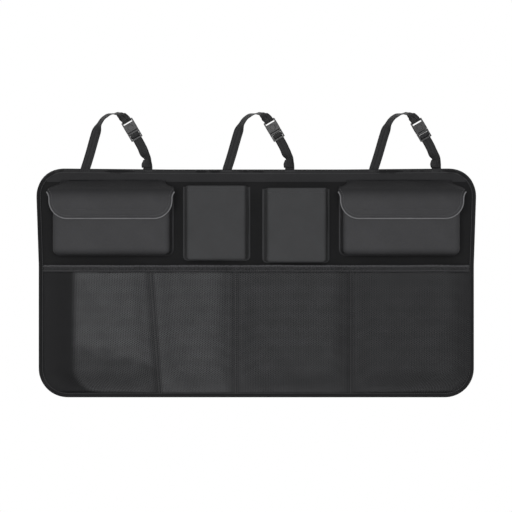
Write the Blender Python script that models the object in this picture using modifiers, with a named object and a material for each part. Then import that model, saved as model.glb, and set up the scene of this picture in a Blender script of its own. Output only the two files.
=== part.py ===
"""A hanging car organizer for the back of a rear bench: a stiff fabric panel with a bound edge,
two boxed pockets under sewn flaps, two open boxed pockets, four net pockets under one elastic band,
and three webbing loops with side-release buckles for the headrests.

Metres, +Z up, +X to the right, the front faces -Y. The origin is the centre of the panel's back."""

import math

import bmesh
import bpy
from mathutils import Matrix, Vector
from mathutils.geometry import interpolate_bezier

SEAM_GAP = 0.0003

# Panel and its binding
PANEL_WIDTH = 0.900
PANEL_HEIGHT = 0.466
PANEL_THICK = 0.003
PANEL_WAIST = 0.0065
PANEL_TOP_SAG = 0.0025
TOP_CORNER_RADIUS = 0.055
BOTTOM_CORNER_RADIUS = 0.058
BINDING_WIDTH = 0.009
BINDING_THICK = 0.0006

# Row of boxed pockets, hung from the panel's top edge
FLAP_SEAM_DROP = 0.025
FLAP_POCKET_WIDTH = 0.235
FLAP_POCKET_HEIGHT = 0.124
FLAP_POCKET_DEPTH = 0.050
FLAP_POCKET_ROLL = 0.011
FLAP_POCKET_FLARE = 0.003
FLAP_POCKET_SLACK = 0.0015
FLAP_WIDTH = 0.243
FLAP_SEAM_WIDTH = 0.214
FLAP_EAR = 0.0045
FLAP_EAR_HEIGHT = 0.010
FLAP_FALL = 0.024
FLAP_FACE = 0.053
FLAP_CORNER_RADIUS = 0.035
FLAP_FOLD_RADIUS = 0.010
FLAP_THICK = 0.0024
FLAP_SEAM_RADIUS = 0.004
FLAP_FLANGE = 0.002
PIPING_DIAMETER = 0.0024
TAPE_THICK = 0.0012
TAPE_LENGTH = 0.090
TAPE_HEIGHT = 0.018
CENTRE_POCKET_DROP = 0.037
CENTRE_POCKET_STEP = 0.0045
CENTRE_POCKET_WIDTH = 0.119
CENTRE_POCKET_HEIGHT = 0.149
CENTRE_POCKET_DEPTH = 0.045
CENTRE_POCKET_ROLL = 0.007
CENTRE_POCKET_FLARE = 0.0068
FRONT_WALL = 0.0022
GUSSET_WALL = 0.0016
FRONT_CROWN = 0.002
# A front's rim lies this many roll radii behind its face
ROLL_DEPTH = 1.2
# Shares of a front's height that its crown takes and of the flap's fall that a gusset's back rises by
CROWN_SHARE = 0.75
GUSSET_RISE_SHARE = 0.9

# Shares of the free width of the panel, from its left edge to its right edge
ROW_SPACES = (0.25, 0.13, 0.24, 0.13, 0.25)

# Net pockets
BAND_DROP = 0.197
BAND_HEIGHT = 0.014
BAND_THICK = 0.002
NET_THICK = 0.0012
NET_BULGE = 0.022
NET_MOUTH_SHARE = 0.8
NET_TOE = 0.050
NET_SHOULDER = 0.024
NET_LEFT_SHOULDER = 0.066
NET_FLANGE = 0.004
NET_CELL = 0.030
NET_STRAND = 0.010
# Seams between the pockets, as shares of the nets' half width
NET_SEAMS_TOP = (-0.4929, -0.0933, 0.4491)
NET_SEAMS_BOTTOM = (-0.4514, -0.0933, 0.4491)
# Closed margins of a net, as shares of its shoulders, its toe and its flange
NET_MARGIN_SHARE = 0.7
NET_FOOT_SHARE = 0.5
NET_HEAD_SHARE = 1.5
NET_STAGGER = NET_CELL / 6

# Headrest straps
WEBBING_WIDTH = 0.019
WEBBING_THICK = 0.0014
# Left roots of the three straps, as shares of the panel's width from its middle
STRAP_ROOTS = (-0.3889, -0.0661, 0.2672)
STRAP_SPAN = 0.128
STRAP_RISE = 0.1125
STRAP_APEX_SHARE = 0.515
STRAP_TAB = 0.028
# Direction and pulls of the curves that a strap follows, as shares of its rise and span
LEG_LEAN = (0.3256, 0, 0.9455)
LEG_PULL_SHARE = 0.73
APEX_PULL_SHARE = 0.34
# Stops of the long webbing's twist: share of its run up to the bar, share of a quarter turn
TWIST_STOPS = ((0.0, 0.0), (0.45, 0.0), (0.60, 0.62), (0.72, 0.70), (0.84, 1.0), (0.945, 0.0), (1.0, 0.0))
RISE_STEPS = 30
FALL_STEPS = 20
LEG_STEPS = 10
BUCKLE_LEAN = math.radians(30.3)
BUCKLE_DROP = 0.0142
BUCKLE_REACH = 0.0190
BAR_APPROACH = 0.001
SEWN_RETURN = 0.0065
TAIL_CLEARANCE = 0.003
TAIL_FOLD = 0.0030
TAIL_HEM = 0.014
TAIL_SLIP = 0.003

# Side-release buckle
BUCKLE_WIDTH = 0.0255
BUCKLE_THICK = 0.0078
BUCKLE_WALL = 0.0018
FRAME_THICK = 0.0024
FRAME_CORNER = 0.003
SOCKET_BODY = 0.0185
SOCKET_SLOT = 0.0045
SOCKET_BAR = 0.0027
SLOT_SLACK = 0.001
PLUG_SHOULDER = 0.0048
PLUG_SHOULDER_THICK = 0.0064
LADDER_SLOT = 0.0036
LADDER_BAR = 0.0029
PRONG_THICK = 0.0036
PRONG_LENGTH = 0.0150
PRONG_ARM = 0.0020
PRONG_WAIST = 0.0024
PRONG_ROOT = 0.0014
PRONG_CATCH = 0.0054
PRONG_RELEASE = 0.0005
TONGUE_WIDTH = 0.0044
BUCKLE_EDGE = 0.0010

# Hook tapes on the hidden side
BACK_TAPE_LENGTH = 0.180
BACK_TAPE_HEIGHT = 0.025
BACK_TAPE_RISE = 0.030
# From the middle, as a share of the panel's width
BACK_TAPE_SHARE = 0.2667

# Mesh fineness
CORNER_STEPS = 7
BEND_STEPS = 4
SHARP_ANGLE = math.radians(35)

# Levels that follow from the sizes above
PANEL_FRONT = -PANEL_THICK
PANEL_TOP = PANEL_HEIGHT / 2
PANEL_BOTTOM = -PANEL_HEIGHT / 2
LOWER_HALF = PANEL_WIDTH / 2 - PANEL_WAIST
FLAP_SEAM = PANEL_TOP - FLAP_SEAM_DROP
FLAP_FOLD = FLAP_SEAM - FLAP_FALL
FLAP_POCKET_FRONT = PANEL_FRONT - FLAP_POCKET_DEPTH
TAPE_ROOM = 2 * TAPE_THICK + 3 * SEAM_GAP
FLAP_FRONT = FLAP_POCKET_FRONT - TAPE_ROOM - FLAP_THICK / 2
BAND_TOP = PANEL_TOP - BAND_DROP
BAND_BOTTOM = BAND_TOP - BAND_HEIGHT
NET_TOP = BAND_BOTTOM - SEAM_GAP
NET_BOTTOM = PANEL_BOTTOM + BINDING_WIDTH + SEAM_GAP
NET_SIDE = LOWER_HALF - BINDING_WIDTH - SEAM_GAP
LOAD_LINE = SEAM_GAP * 2 + BINDING_THICK + WEBBING_THICK / 2
WEBBING_STEP = WEBBING_THICK + SEAM_GAP
BAR_OFFSET = FRAME_THICK / 2 + SEAM_GAP + WEBBING_THICK / 2
BUCKLE_MIDDLE = LOAD_LINE - BAR_OFFSET - WEBBING_STEP
SOCKET_LENGTH = SOCKET_BODY + SOCKET_SLOT + SOCKET_BAR
UPRIGHT = math.radians(90)


def clear_scene():
    for obj in list(bpy.data.objects):
        bpy.data.objects.remove(obj, do_unlink=True)


def new_collection(name, hidden=False):
    collection = bpy.data.collections.new(name)
    collection.hide_render = hidden
    bpy.context.scene.collection.children.link(collection)
    return collection


def new_material(name, colour, roughness, sheen=0.0):
    material = bpy.data.materials.new(name)
    material.use_nodes = True
    shader = material.node_tree.nodes["Principled BSDF"]
    shader.inputs["Base Color"].default_value = (*colour, 1.0)
    shader.inputs["Roughness"].default_value = roughness
    shader.inputs["Metallic"].default_value = 0.0
    shader.inputs["Sheen Weight"].default_value = sheen
    return material


def new_object(name, data, finish, collection):
    """An object in its collection, with a material of its own in the given finish."""
    obj = bpy.data.objects.new(name, data)
    collection.objects.link(obj)
    if finish:
        data.materials.clear()
        data.materials.append(new_material(name, *finish))
    return obj


def mesh_from(bm, name):
    bmesh.ops.recalc_face_normals(bm, faces=bm.faces)
    mesh = bpy.data.meshes.new(name)
    bm.to_mesh(mesh)
    bm.free()
    mesh.shade_smooth()
    mesh.set_sharp_from_angle(angle=SHARP_ANGLE)
    return mesh


def smoothstep(share):
    share = min(max(share, 0.0), 1.0)
    return share * share * (3 - 2 * share)


def arc_between(start, end, steps):
    """Vectors that turn evenly from start to end, both measured from the arc's centre."""
    angle = start.angle(end)
    for step in range(steps + 1):
        share = step / steps
        weights = math.sin((1 - share) * angle), math.sin(share * angle)
        yield (start * weights[0] + end * weights[1]) / math.sin(angle)


def corner_arc(corner, before, after, radius, steps):
    """The points that round one corner of a line of points."""
    back = (before - corner).normalized()
    ahead = (after - corner).normalized()
    half = back.angle(ahead) / 2
    reach = radius / math.tan(half)
    centre = corner + (back + ahead).normalized() * (radius / math.sin(half))
    ends = corner + back * reach - centre, corner + ahead * reach - centre
    return [centre + spoke for spoke in arc_between(*ends, steps)]


def rounded_path(corners, radii, steps=BEND_STEPS):
    """An open line through the corners, each inner one rounded by its own radius."""
    corners = [Vector(corner) for corner in corners]
    points = [corners[0]]
    for before, corner, after, radius in zip(corners, corners[1:], corners[2:], radii):
        points += corner_arc(corner, before, after, radius, steps)
    return points + [corners[-1]]


def rounded_outline(corners, steps=CORNER_STEPS):
    """A closed line; each corner is (x, y, radius), and a radius of 0 stays a point."""
    points = []
    for index, (x, y, radius) in enumerate(corners):
        corner = Vector((x, y))
        if radius == 0:
            points.append(corner)
            continue
        before = Vector(corners[index - 1][:2])
        after = Vector(corners[(index + 1) % len(corners)][:2])
        points += corner_arc(corner, before, after, radius, steps)
    return points


def rectangle(left, right, low, high, radius):
    corners = (left, low), (right, low), (right, high), (left, high)
    return rounded_outline([(x, y, radius) for x, y in corners], 3)


def offset_outline(points, distance):
    """A counter-clockwise closed line moved outwards by the distance, or inwards if negative."""
    moved = []
    for index, point in enumerate(points):
        before = (point - points[index - 1]).normalized()
        after = (points[(index + 1) % len(points)] - point).normalized()
        first = Vector((before.y, -before.x))
        second = Vector((after.y, -after.x))
        moved.append(point + (first + second) * (distance / (1 + first.dot(second))))
    return moved


def plate_curve(name, outlines, thick):
    """A flat curve of the outlines, those inside others as holes, extruded to the thickness."""
    curve = bpy.data.curves.new(name, "CURVE")
    curve.dimensions = "2D"
    curve.fill_mode = "BOTH"
    curve.extrude = thick / 2
    for outline in outlines:
        spline = curve.splines.new("POLY")
        spline.points.add(len(outline) - 1)
        for point, place in zip(spline.points, outline):
            point.co = (*place, 0.0, 1.0)
        spline.use_cyclic_u = True
    return curve


def curve_to_mesh(curve, name):
    """The curve's welded mesh, for pieces that are cut or joined."""
    holder = bpy.data.objects.new(name, curve)
    bpy.context.scene.collection.objects.link(holder)
    graph = bpy.context.evaluated_depsgraph_get()
    mesh = bpy.data.meshes.new_from_object(holder.evaluated_get(graph))
    bpy.data.objects.remove(holder)
    bm = bmesh.new()
    bm.from_mesh(mesh)
    bmesh.ops.remove_doubles(bm, verts=bm.verts, dist=0.00001)
    bm.to_mesh(mesh)
    bm.free()
    mesh.name = name
    return mesh


def block_mesh(name, low, high, edge=0.0):
    """A box between two corners, with its edges rounded by the given width."""
    bm = bmesh.new()
    middle = (Vector(low) + Vector(high)) / 2
    size = Vector(high) - Vector(low)
    bmesh.ops.create_cube(bm, size=1.0, matrix=Matrix.Translation(middle) @ Matrix.Diagonal((*size, 1.0)))
    if edge:
        bmesh.ops.bevel(bm, geom=bm.edges, offset=edge, segments=2, profile=0.5, affect="EDGES")
    return mesh_from(bm, name)


def combined(name, base, changes, cutters):
    """The base mesh with each (operation, mesh) of the changes applied by an exact Boolean."""
    work = new_object(name + "_work", base, None, cutters)
    for index, (operation, mesh) in enumerate(changes):
        tool = new_object(f"{name}_tool_{index}", mesh, None, cutters)
        tool.hide_render = True
        tool.display_type = "WIRE"
        modifier = work.modifiers.new(f"{operation.lower()}_{index}", "BOOLEAN")
        modifier.operation = operation
        modifier.object = tool
        modifier.solver = "EXACT"
    graph = bpy.context.evaluated_depsgraph_get()
    mesh = bpy.data.meshes.new_from_object(work.evaluated_get(graph))
    bpy.data.objects.remove(work)
    mesh.name = name
    mesh.shade_smooth()
    mesh.set_sharp_from_angle(angle=SHARP_ANGLE)
    return mesh


def ribbon_mesh(name, centres, sides):
    """Webbing swept through the centres; sides holds its width direction at each of them.

    Both of its faces are split along the same diagonals, so that its walls stay parallel in a twist."""
    half, edge = WEBBING_WIDTH / 2, WEBBING_THICK / 2
    front_face = [(-half, edge), (0.0, edge), (half, edge)]
    back_face = [(half, -edge), (0.0, -edge), (-half, -edge)]
    section = front_face + back_face
    bm = bmesh.new()
    rings = []
    for index, (centre, side) in enumerate(zip(centres, sides)):
        along = centres[min(index + 1, len(centres) - 1)] - centres[max(index - 1, 0)]
        face = along.cross(side).normalized()
        across = face.cross(along).normalized()
        rings.append([bm.verts.new(centre + across * a + face * b) for a, b in section])
    for ring, following in zip(rings, rings[1:]):
        for index in range(len(section)):
            after = (index + 1) % len(section)
            if index < len(front_face):
                bm.faces.new([ring[index], ring[after], following[after]])
                bm.faces.new([ring[index], following[after], following[index]])
            else:
                bm.faces.new([ring[index], ring[after], following[index]])
                bm.faces.new([ring[after], following[after], following[index]])
    bm.faces.new(rings[0])
    bm.faces.new(rings[-1])
    return mesh_from(bm, name)


def solidify(obj, thick, offset):
    modifier = obj.modifiers.new("Wall", "SOLIDIFY")
    modifier.thickness = thick
    modifier.offset = offset
    modifier.use_even_offset = offset != 0


def panel_outline():
    """The panel's edge, counter-clockwise seen from the front, in X and Z."""
    waist = BAND_TOP
    low_point = PANEL_TOP - PANEL_TOP_SAG
    right = [
        (LOWER_HALF, PANEL_BOTTOM, BOTTOM_CORNER_RADIUS),
        (LOWER_HALF, waist, 0.0),
        (PANEL_WIDTH / 2, PANEL_TOP, TOP_CORNER_RADIUS),
        (PANEL_WIDTH / 5, low_point, 0.0),
    ]
    left = [(-x, z, radius) for x, z, radius in reversed(right)]
    return rounded_outline(right + left)


def make_panel(parts, cutters):
    cloth = ((0.018, 0.018, 0.020), 0.75)
    outline = panel_outline()
    panel = new_object("back_panel", plate_curve("back_panel", [outline], PANEL_THICK), cloth, parts)
    panel.rotation_euler.x = UPRIGHT
    panel.location.y = PANEL_FRONT / 2

    outer = offset_outline(outline, SEAM_GAP + BINDING_THICK)
    inner = offset_outline(outline, -BINDING_WIDTH)
    tape = plate_curve("edge_binding", [outer, inner], PANEL_THICK + 2 * (SEAM_GAP + BINDING_THICK))
    room = offset_outline(outline, SEAM_GAP)
    slot = plate_curve("edge_binding_slot", [room], PANEL_THICK + 2 * SEAM_GAP)
    ring = combined(
        "edge_binding",
        curve_to_mesh(tape, "edge_binding"),
        [("DIFFERENCE", curve_to_mesh(slot, "edge_binding_slot"))],
        cutters,
    )
    binding = new_object("edge_binding", ring, ((0.022, 0.022, 0.024), 0.6), parts)
    binding.rotation_euler.x = UPRIGHT
    binding.location.y = PANEL_FRONT / 2


def box_shell(width, low, high, front, back, cuts, open_front):
    """A grid box open at its back and top, and at its front too for a gusset."""
    bm = bmesh.new()
    middle = (0, (front + back) / 2, (low + high) / 2)
    size = (width, back - front, high - low, 1.0)
    bmesh.ops.create_cube(bm, size=1.0, matrix=Matrix.Translation(middle) @ Matrix.Diagonal(size))
    for axis, count in enumerate(cuts):
        if count:
            spans = [(e, (e.verts[0].co - e.verts[1].co).normalized()) for e in bm.edges]
            along = [edge for edge, direction in spans if abs(direction[axis]) > 0.9]
            bmesh.ops.subdivide_edges(bm, edges=along, cuts=count, use_grid_fill=True)
    bm.normal_update()
    gone = [f for f in bm.faces if f.normal.y > 0.9 or f.normal.z > 0.9 or (open_front and f.normal.y < -0.9)]
    bmesh.ops.delete(bm, geom=gone, context="FACES")
    return bm


def on_plane(edge, axis, value):
    return all(abs(vert.co[axis] - value) < 1e-6 for vert in edge.verts)


def make_box_front(name, width, low, high, front, roll, finish, parts, place):
    """A pocket front whose sides and floor roll back to meet the gusset, with a soft crown."""
    bm = box_shell(width, low, high, front, front + roll * ROLL_DEPTH, (3, 0, 3), False)
    flanks = [e for e in bm.edges if on_plane(e, 0, -width / 2) or on_plane(e, 0, width / 2)]
    floor = [e for e in bm.edges if on_plane(e, 2, low)]
    rim = [e for e in flanks + floor if on_plane(e, 1, front)]
    feet = [e for e in flanks if e in floor]
    bmesh.ops.bevel(bm, geom=rim + feet, offset=roll, segments=BEND_STEPS, profile=0.5, affect="EDGES")
    crown_top = CROWN_SHARE * (high - low)
    for vert in bm.verts:
        rise = (vert.co.z - low) / crown_top
        if abs(vert.co.y - front) < 1e-6 and rise < 1:
            across = 1 - (2 * vert.co.x / width) ** 2
            vert.co.y -= FRONT_CROWN * across * math.sin(math.pi * rise)
    obj = new_object(name, mesh_from(bm, name), finish, parts)
    obj.location.x = place
    solidify(obj, FRONT_WALL, -1)


def make_gusset(name, width, low, high, front, roll, flare, rise, finish, parts, place):
    """Sides and floor from the front's rolled rim to the panel, wider where they are sewn on."""
    start = front + roll * ROLL_DEPTH + SEAM_GAP
    end = PANEL_FRONT - SEAM_GAP - GUSSET_WALL * flare / (PANEL_FRONT - start)
    bm = box_shell(width, low, high, start, end, (0, 2, 1), True)
    flanks = [e for e in bm.edges if on_plane(e, 0, -width / 2) or on_plane(e, 0, width / 2)]
    feet = [e for e in flanks if on_plane(e, 2, low)]
    bmesh.ops.bevel(bm, geom=feet, offset=roll, segments=BEND_STEPS, profile=0.5, affect="EDGES")
    for vert in bm.verts:
        share = (vert.co.y - start) / (end - start)
        vert.co.x *= 1 + 2 * flare * share / width
        if vert.co.z > high - 1e-6:
            vert.co.z += rise * share
    obj = new_object(name, mesh_from(bm, name), finish, parts)
    obj.location.x = place
    solidify(obj, GUSSET_WALL, -1)


def flap_path():
    """The flap's middle line in Y and Z, from its lower edge up over the fold to the panel."""
    seam_line = PANEL_FRONT - SEAM_GAP - FLAP_THICK / 2
    return rounded_path(
        [
            (FLAP_FRONT, FLAP_FOLD - FLAP_FACE),
            (FLAP_FRONT, FLAP_FOLD),
            (seam_line, FLAP_SEAM),
            (seam_line, FLAP_SEAM + FLAP_SEAM_RADIUS + FLAP_FLANGE),
        ],
        (FLAP_FOLD_RADIUS, FLAP_SEAM_RADIUS),
    )


def flap_rows():
    """(half width, y, z) of the flap's cross lines, from its lower edge up."""
    path = flap_path()
    half = FLAP_WIDTH / 2
    radius = FLAP_CORNER_RADIUS
    low = path[0].y
    rows = []
    for step in range(CORNER_STEPS + 1):
        angle = math.pi / 2 * step / CORNER_STEPS
        across = half - radius + radius * math.sin(angle)
        rows.append((across, FLAP_FRONT, low + radius * (1 - math.cos(angle))))
    fold_start = path[1].y
    rows.append((half, FLAP_FRONT, fold_start - FLAP_EAR_HEIGHT / 2))
    ear = half + FLAP_EAR
    seam = FLAP_SEAM_WIDTH / 2
    slope = path[BEND_STEPS + 1], path[BEND_STEPS + 2]
    for y, z in path[1 : BEND_STEPS + 2]:
        rows.append((ear, y, z))
    middle = (slope[0] + slope[1]) / 2
    rows.append(((ear + seam) / 2, *middle))
    for y, z in path[BEND_STEPS + 2 :]:
        rows.append((seam, y, z))
    return rows


def make_flap(name, finish, parts, place):
    rows = flap_rows()
    columns = 4
    bm = bmesh.new()
    bmesh.ops.create_grid(bm, x_segments=columns, y_segments=len(rows) - 1, size=1.0)
    for vert in bm.verts:
        row = round((vert.co.y + 1) / 2 * (len(rows) - 1))
        half, y, z = rows[row]
        vert.co = (vert.co.x * half, y, z)
    obj = new_object(name, mesh_from(bm, name), finish, parts)
    obj.location.x = place
    solidify(obj, FLAP_THICK, 0)


def make_piping(name, finish, parts, place):
    """A cord sewn round the flap's free edge, its two ends turned out as ears at the fold."""
    reach = SEAM_GAP + PIPING_DIAMETER / 2
    edge = [Vector((half, z)) for half, y, z in flap_rows() if abs(y - FLAP_FRONT) < 1e-6]
    edge = edge[:-1] + [Vector((FLAP_WIDTH / 2 + FLAP_EAR, flap_path()[1].y))]
    closed = [Vector((-p.x, p.y)) for p in edge[::-1]] + edge
    centres = []
    for index, point in enumerate(closed):
        before = closed[max(index - 1, 0)]
        after = closed[min(index + 1, len(closed) - 1)]
        along = (after - before).normalized()
        centres.append(point + Vector((along.y, -along.x)) * reach)
    curve = bpy.data.curves.new(name, "CURVE")
    curve.dimensions = "3D"
    curve.bevel_depth = PIPING_DIAMETER / 2
    curve.bevel_resolution = 1
    curve.use_fill_caps = True
    spline = curve.splines.new("POLY")
    spline.points.add(len(centres) - 1)
    for point, place_2d in zip(spline.points, centres):
        point.co = (place_2d.x, FLAP_FRONT, place_2d.y, 1.0)
    obj = new_object(name, curve, finish, parts)
    obj.location.x = place


def make_tape(name, centre, size, finish, parts):
    """A strip of hook or loop tape, flat against a face in the XZ plane."""
    half = Vector(size) / 2
    mesh = block_mesh(name, Vector(centre) - half, Vector(centre) + half)
    new_object(name, mesh, finish, parts)


def row_centres():
    """Centres of the four boxed pockets, the free width shared out between them."""
    flap = FLAP_WIDTH + 2 * FLAP_EAR + 2 * PIPING_DIAMETER
    open_pocket = CENTRE_POCKET_WIDTH + 2 * CENTRE_POCKET_FLARE
    widths = (flap, open_pocket, open_pocket, flap)
    free = PANEL_WIDTH - sum(widths)
    centres = []
    edge = -PANEL_WIDTH / 2
    for space, width in zip(ROW_SPACES, widths):
        edge += free * space
        centres.append(edge + width / 2)
        edge += width
    return centres


def make_flap_pocket(side, place, parts):
    leather = ((0.030, 0.030, 0.033), 0.42)
    tape = ((0.012, 0.012, 0.013), 0.95, 0.4)
    name = "flap_pocket_" + side
    high = FLAP_FOLD - FLAP_THICK / 2 - SEAM_GAP - FLAP_POCKET_SLACK
    low = high - FLAP_POCKET_HEIGHT
    shape = (FLAP_POCKET_WIDTH, low, high, FLAP_POCKET_FRONT, FLAP_POCKET_ROLL)
    rise = FLAP_FALL * (1 - FLAP_POCKET_ROLL / FLAP_POCKET_DEPTH) * GUSSET_RISE_SHARE
    make_box_front(name + "_front", *shape, leather, parts, place)
    make_gusset(name + "_gusset", *shape, FLAP_POCKET_FLARE, rise, leather, parts, place)
    make_flap(name + "_flap", leather, parts, place)
    make_piping(name + "_piping", ((0.13, 0.13, 0.14), 0.5), parts, place)
    level = FLAP_FOLD - FLAP_FOLD_RADIUS - TAPE_HEIGHT / 2
    for kind, order in (("loop", 1), ("hook", 2)):
        depth = FLAP_POCKET_FRONT - order * SEAM_GAP - (order - 0.5) * TAPE_THICK
        size = (TAPE_LENGTH, TAPE_THICK, TAPE_HEIGHT)
        make_tape(f"{name}_{kind}_tape", (place, depth, level), size, tape, parts)


def make_centre_pocket(side, place, drop, parts):
    cloth = ((0.028, 0.028, 0.031), 0.8)
    name = "centre_pocket_" + side
    high = PANEL_TOP - drop
    shape = (
        CENTRE_POCKET_WIDTH,
        high - CENTRE_POCKET_HEIGHT,
        high,
        PANEL_FRONT - CENTRE_POCKET_DEPTH,
        CENTRE_POCKET_ROLL,
    )
    make_box_front(name + "_front", *shape, cloth, parts, place)
    make_gusset(name + "_gusset", *shape, CENTRE_POCKET_FLARE, 0.0, cloth, parts, place)


def seam_position(index, z):
    """X of a net seam at a height; the two outermost follow the panel's binding round its corners."""
    if index in (0, 4):
        radius = BOTTOM_CORNER_RADIUS - BINDING_WIDTH
        drop = max(NET_BOTTOM + radius - z, 0.0)
        side = NET_SIDE - radius + math.sqrt(max(radius**2 - drop**2, 0.0))
        return side if index else -side
    share = (NET_TOP - z) / (NET_TOP - NET_BOTTOM)
    top, bottom = NET_SEAMS_TOP[index - 1], NET_SEAMS_BOTTOM[index - 1]
    return NET_SIDE * (top + (bottom - top) * share)


def net_bulge(pocket, x, z):
    """How far the net stands off the panel at a place in one pocket."""
    shoulder = NET_LEFT_SHOULDER if pocket == 0 else NET_SHOULDER
    left = (x - seam_position(pocket, z) - NET_FLANGE) / shoulder
    right = (seam_position(pocket + 1, z) - x - NET_FLANGE) / NET_SHOULDER
    across = smoothstep(left) * smoothstep(right)
    toe = smoothstep((z - NET_BOTTOM - NET_FLANGE) / NET_TOE)
    mouth = 1 - (1 - NET_MOUTH_SHARE) * smoothstep((z - NET_BOTTOM) / (NET_TOP - NET_BOTTOM) * 2 - 1)
    return NET_BULGE * across * toe * mouth


def net_stops(first, last, lead, margins):
    """Grid lines from one edge to the other: the lead lines, even cells, then a flange."""
    start, end = first + margins[0], last - margins[1]
    count = max(round((end - start) / NET_CELL), 2)
    cells = [start + (end - start) * step / count for step in range(count + 1)]
    return [first + step for step in lead] + cells + [last - NET_FLANGE, last], count


def make_net_pocket(pocket, parts):
    """One net pocket: a pleated sheet with open cells over its face and closed margins."""
    name = f"mesh_pocket_{pocket + 1}"
    left_margin = NET_MARGIN_SHARE * (NET_LEFT_SHOULDER if pocket == 0 else NET_SHOULDER)
    margins = (left_margin, NET_MARGIN_SHARE * NET_SHOULDER)
    ends = (NET_FOOT_SHARE * NET_TOE, NET_HEAD_SHARE * NET_FLANGE)
    width = seam_position(pocket + 1, 0) - seam_position(pocket, 0)
    side_lead, foot_lead = (0, NET_FLANGE), (0, NET_FLANGE, 3 * NET_FLANGE)
    columns, across = net_stops(0.0, width, side_lead, margins)
    rows, up = net_stops(NET_BOTTOM, NET_TOP, foot_lead, ends)
    bm = bmesh.new()
    bmesh.ops.create_grid(bm, x_segments=len(columns) - 1, y_segments=len(rows) - 1, size=1.0)
    holes = []
    for face in bm.faces:
        middle = face.calc_center_median()
        column = (middle.x + 1) / 2 * (len(columns) - 1)
        row = (middle.y + 1) / 2 * (len(rows) - 1)
        first_cell = len(side_lead), len(foot_lead)
        if 0 < column - first_cell[0] < across and 0 < row - first_cell[1] < up:
            holes.append(face)
    for vert in bm.verts:
        column = round((vert.co.x + 1) / 2 * (len(columns) - 1))
        row = round((vert.co.y + 1) / 2 * (len(rows) - 1))
        z = rows[row]
        inner = 0 < column - len(side_lead) < across and 0 < row - len(foot_lead) < up
        zigzag = NET_STAGGER * (-1) ** row if inner else 0.0
        first, last = seam_position(pocket, z), seam_position(pocket + 1, z)
        spacing = SEAM_GAP if column == 0 else -SEAM_GAP if column == len(columns) - 1 else 0.0
        x = first + (last - first) * columns[column] / width + zigzag + spacing
        y = PANEL_FRONT - SEAM_GAP - NET_THICK / 2 - net_bulge(pocket, x, z)
        vert.co = (x, y, z)
    bm.normal_update()
    bmesh.ops.inset_individual(bm, faces=holes, thickness=NET_STRAND / 2, use_even_offset=True)
    bmesh.ops.delete(bm, geom=holes, context="FACES")
    net = ((0.022, 0.022, 0.025), 0.7)
    obj = new_object(name, mesh_from(bm, name), net, parts)
    solidify(obj, NET_THICK, 0)


def make_band(parts):
    """The elastic hem over the four mouths, sewn to the panel between them."""
    level = (BAND_TOP + BAND_BOTTOM) / 2
    spots = []
    for pocket in range(4):
        first, last = seam_position(pocket, NET_TOP), seam_position(pocket + 1, NET_TOP)
        shoulder = NET_LEFT_SHOULDER if pocket == 0 else NET_SHOULDER
        for start, reach in ((first, shoulder), (last - NET_SHOULDER - NET_FLANGE, NET_SHOULDER)):
            for step in range(BEND_STEPS + 2):
                spots.append((pocket, start + (reach + NET_FLANGE) * step / (BEND_STEPS + 1)))
    kept = [spots[0]]
    for spot in spots[1:]:
        if spot[1] - kept[-1][1] > 0.001:
            kept.append(spot)
    bm = bmesh.new()
    bmesh.ops.create_grid(bm, x_segments=len(kept) - 1, y_segments=1, size=1.0)
    for vert in bm.verts:
        pocket, x = kept[round((vert.co.x + 1) / 2 * (len(kept) - 1))]
        y = PANEL_FRONT - SEAM_GAP - BAND_THICK / 2 - net_bulge(pocket, x, NET_TOP)
        vert.co = (x, y, level + vert.co.y * BAND_HEIGHT / 2)
    band = ((0.020, 0.020, 0.022), 0.65)
    obj = new_object("mesh_top_band", mesh_from(bm, "mesh_top_band"), band, parts)
    solidify(obj, BAND_THICK, 0)


def socket_mesh(cutters):
    """Socket: a hollow body with side windows, and a slotted frame for the sewn webbing."""
    half = BUCKLE_WIDTH / 2
    inside = half - BUCKLE_WALL
    slot_half = WEBBING_WIDTH / 2 + SLOT_SLACK / 2
    rise = BUCKLE_THICK / 2
    body = block_mesh("socket_body", (-half, SEAM_GAP, -rise), (half, SOCKET_BODY, rise), BUCKLE_EDGE)
    frame = plate_curve(
        "socket_frame",
        [
            rectangle(-half, half, SOCKET_BODY - FRAME_CORNER, SOCKET_LENGTH, FRAME_CORNER / 2),
            rectangle(-slot_half, slot_half, SOCKET_BODY, SOCKET_BODY + SOCKET_SLOT, SLOT_SLACK / 2),
        ],
        FRAME_THICK,
    )
    room = PRONG_THICK / 2 + 2 * SEAM_GAP
    depth = PRONG_LENGTH + 4 * SEAM_GAP
    cavity = block_mesh("socket_cavity", (-inside, -SOCKET_BODY, -room), (inside, depth, room))
    window = (PRONG_CATCH - SEAM_GAP, PRONG_LENGTH - 4 * SEAM_GAP)
    windows = block_mesh("socket_windows", (-2 * half, window[0], -room), (2 * half, window[1], room))
    dip = bmesh.new()
    bmesh.ops.create_cone(
        dip,
        cap_ends=True,
        segments=16,
        radius1=inside / 2,
        radius2=inside / 2 + BUCKLE_EDGE,
        depth=BUCKLE_EDGE,
        matrix=Matrix.Translation((0, SOCKET_BODY / 2, rise)),
    )
    changes = [
        ("UNION", curve_to_mesh(frame, "socket_frame")),
        ("DIFFERENCE", cavity),
        ("DIFFERENCE", windows),
        ("DIFFERENCE", mesh_from(dip, "socket_dip")),
    ]
    return combined("buckle_socket", body, changes, cutters)


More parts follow.
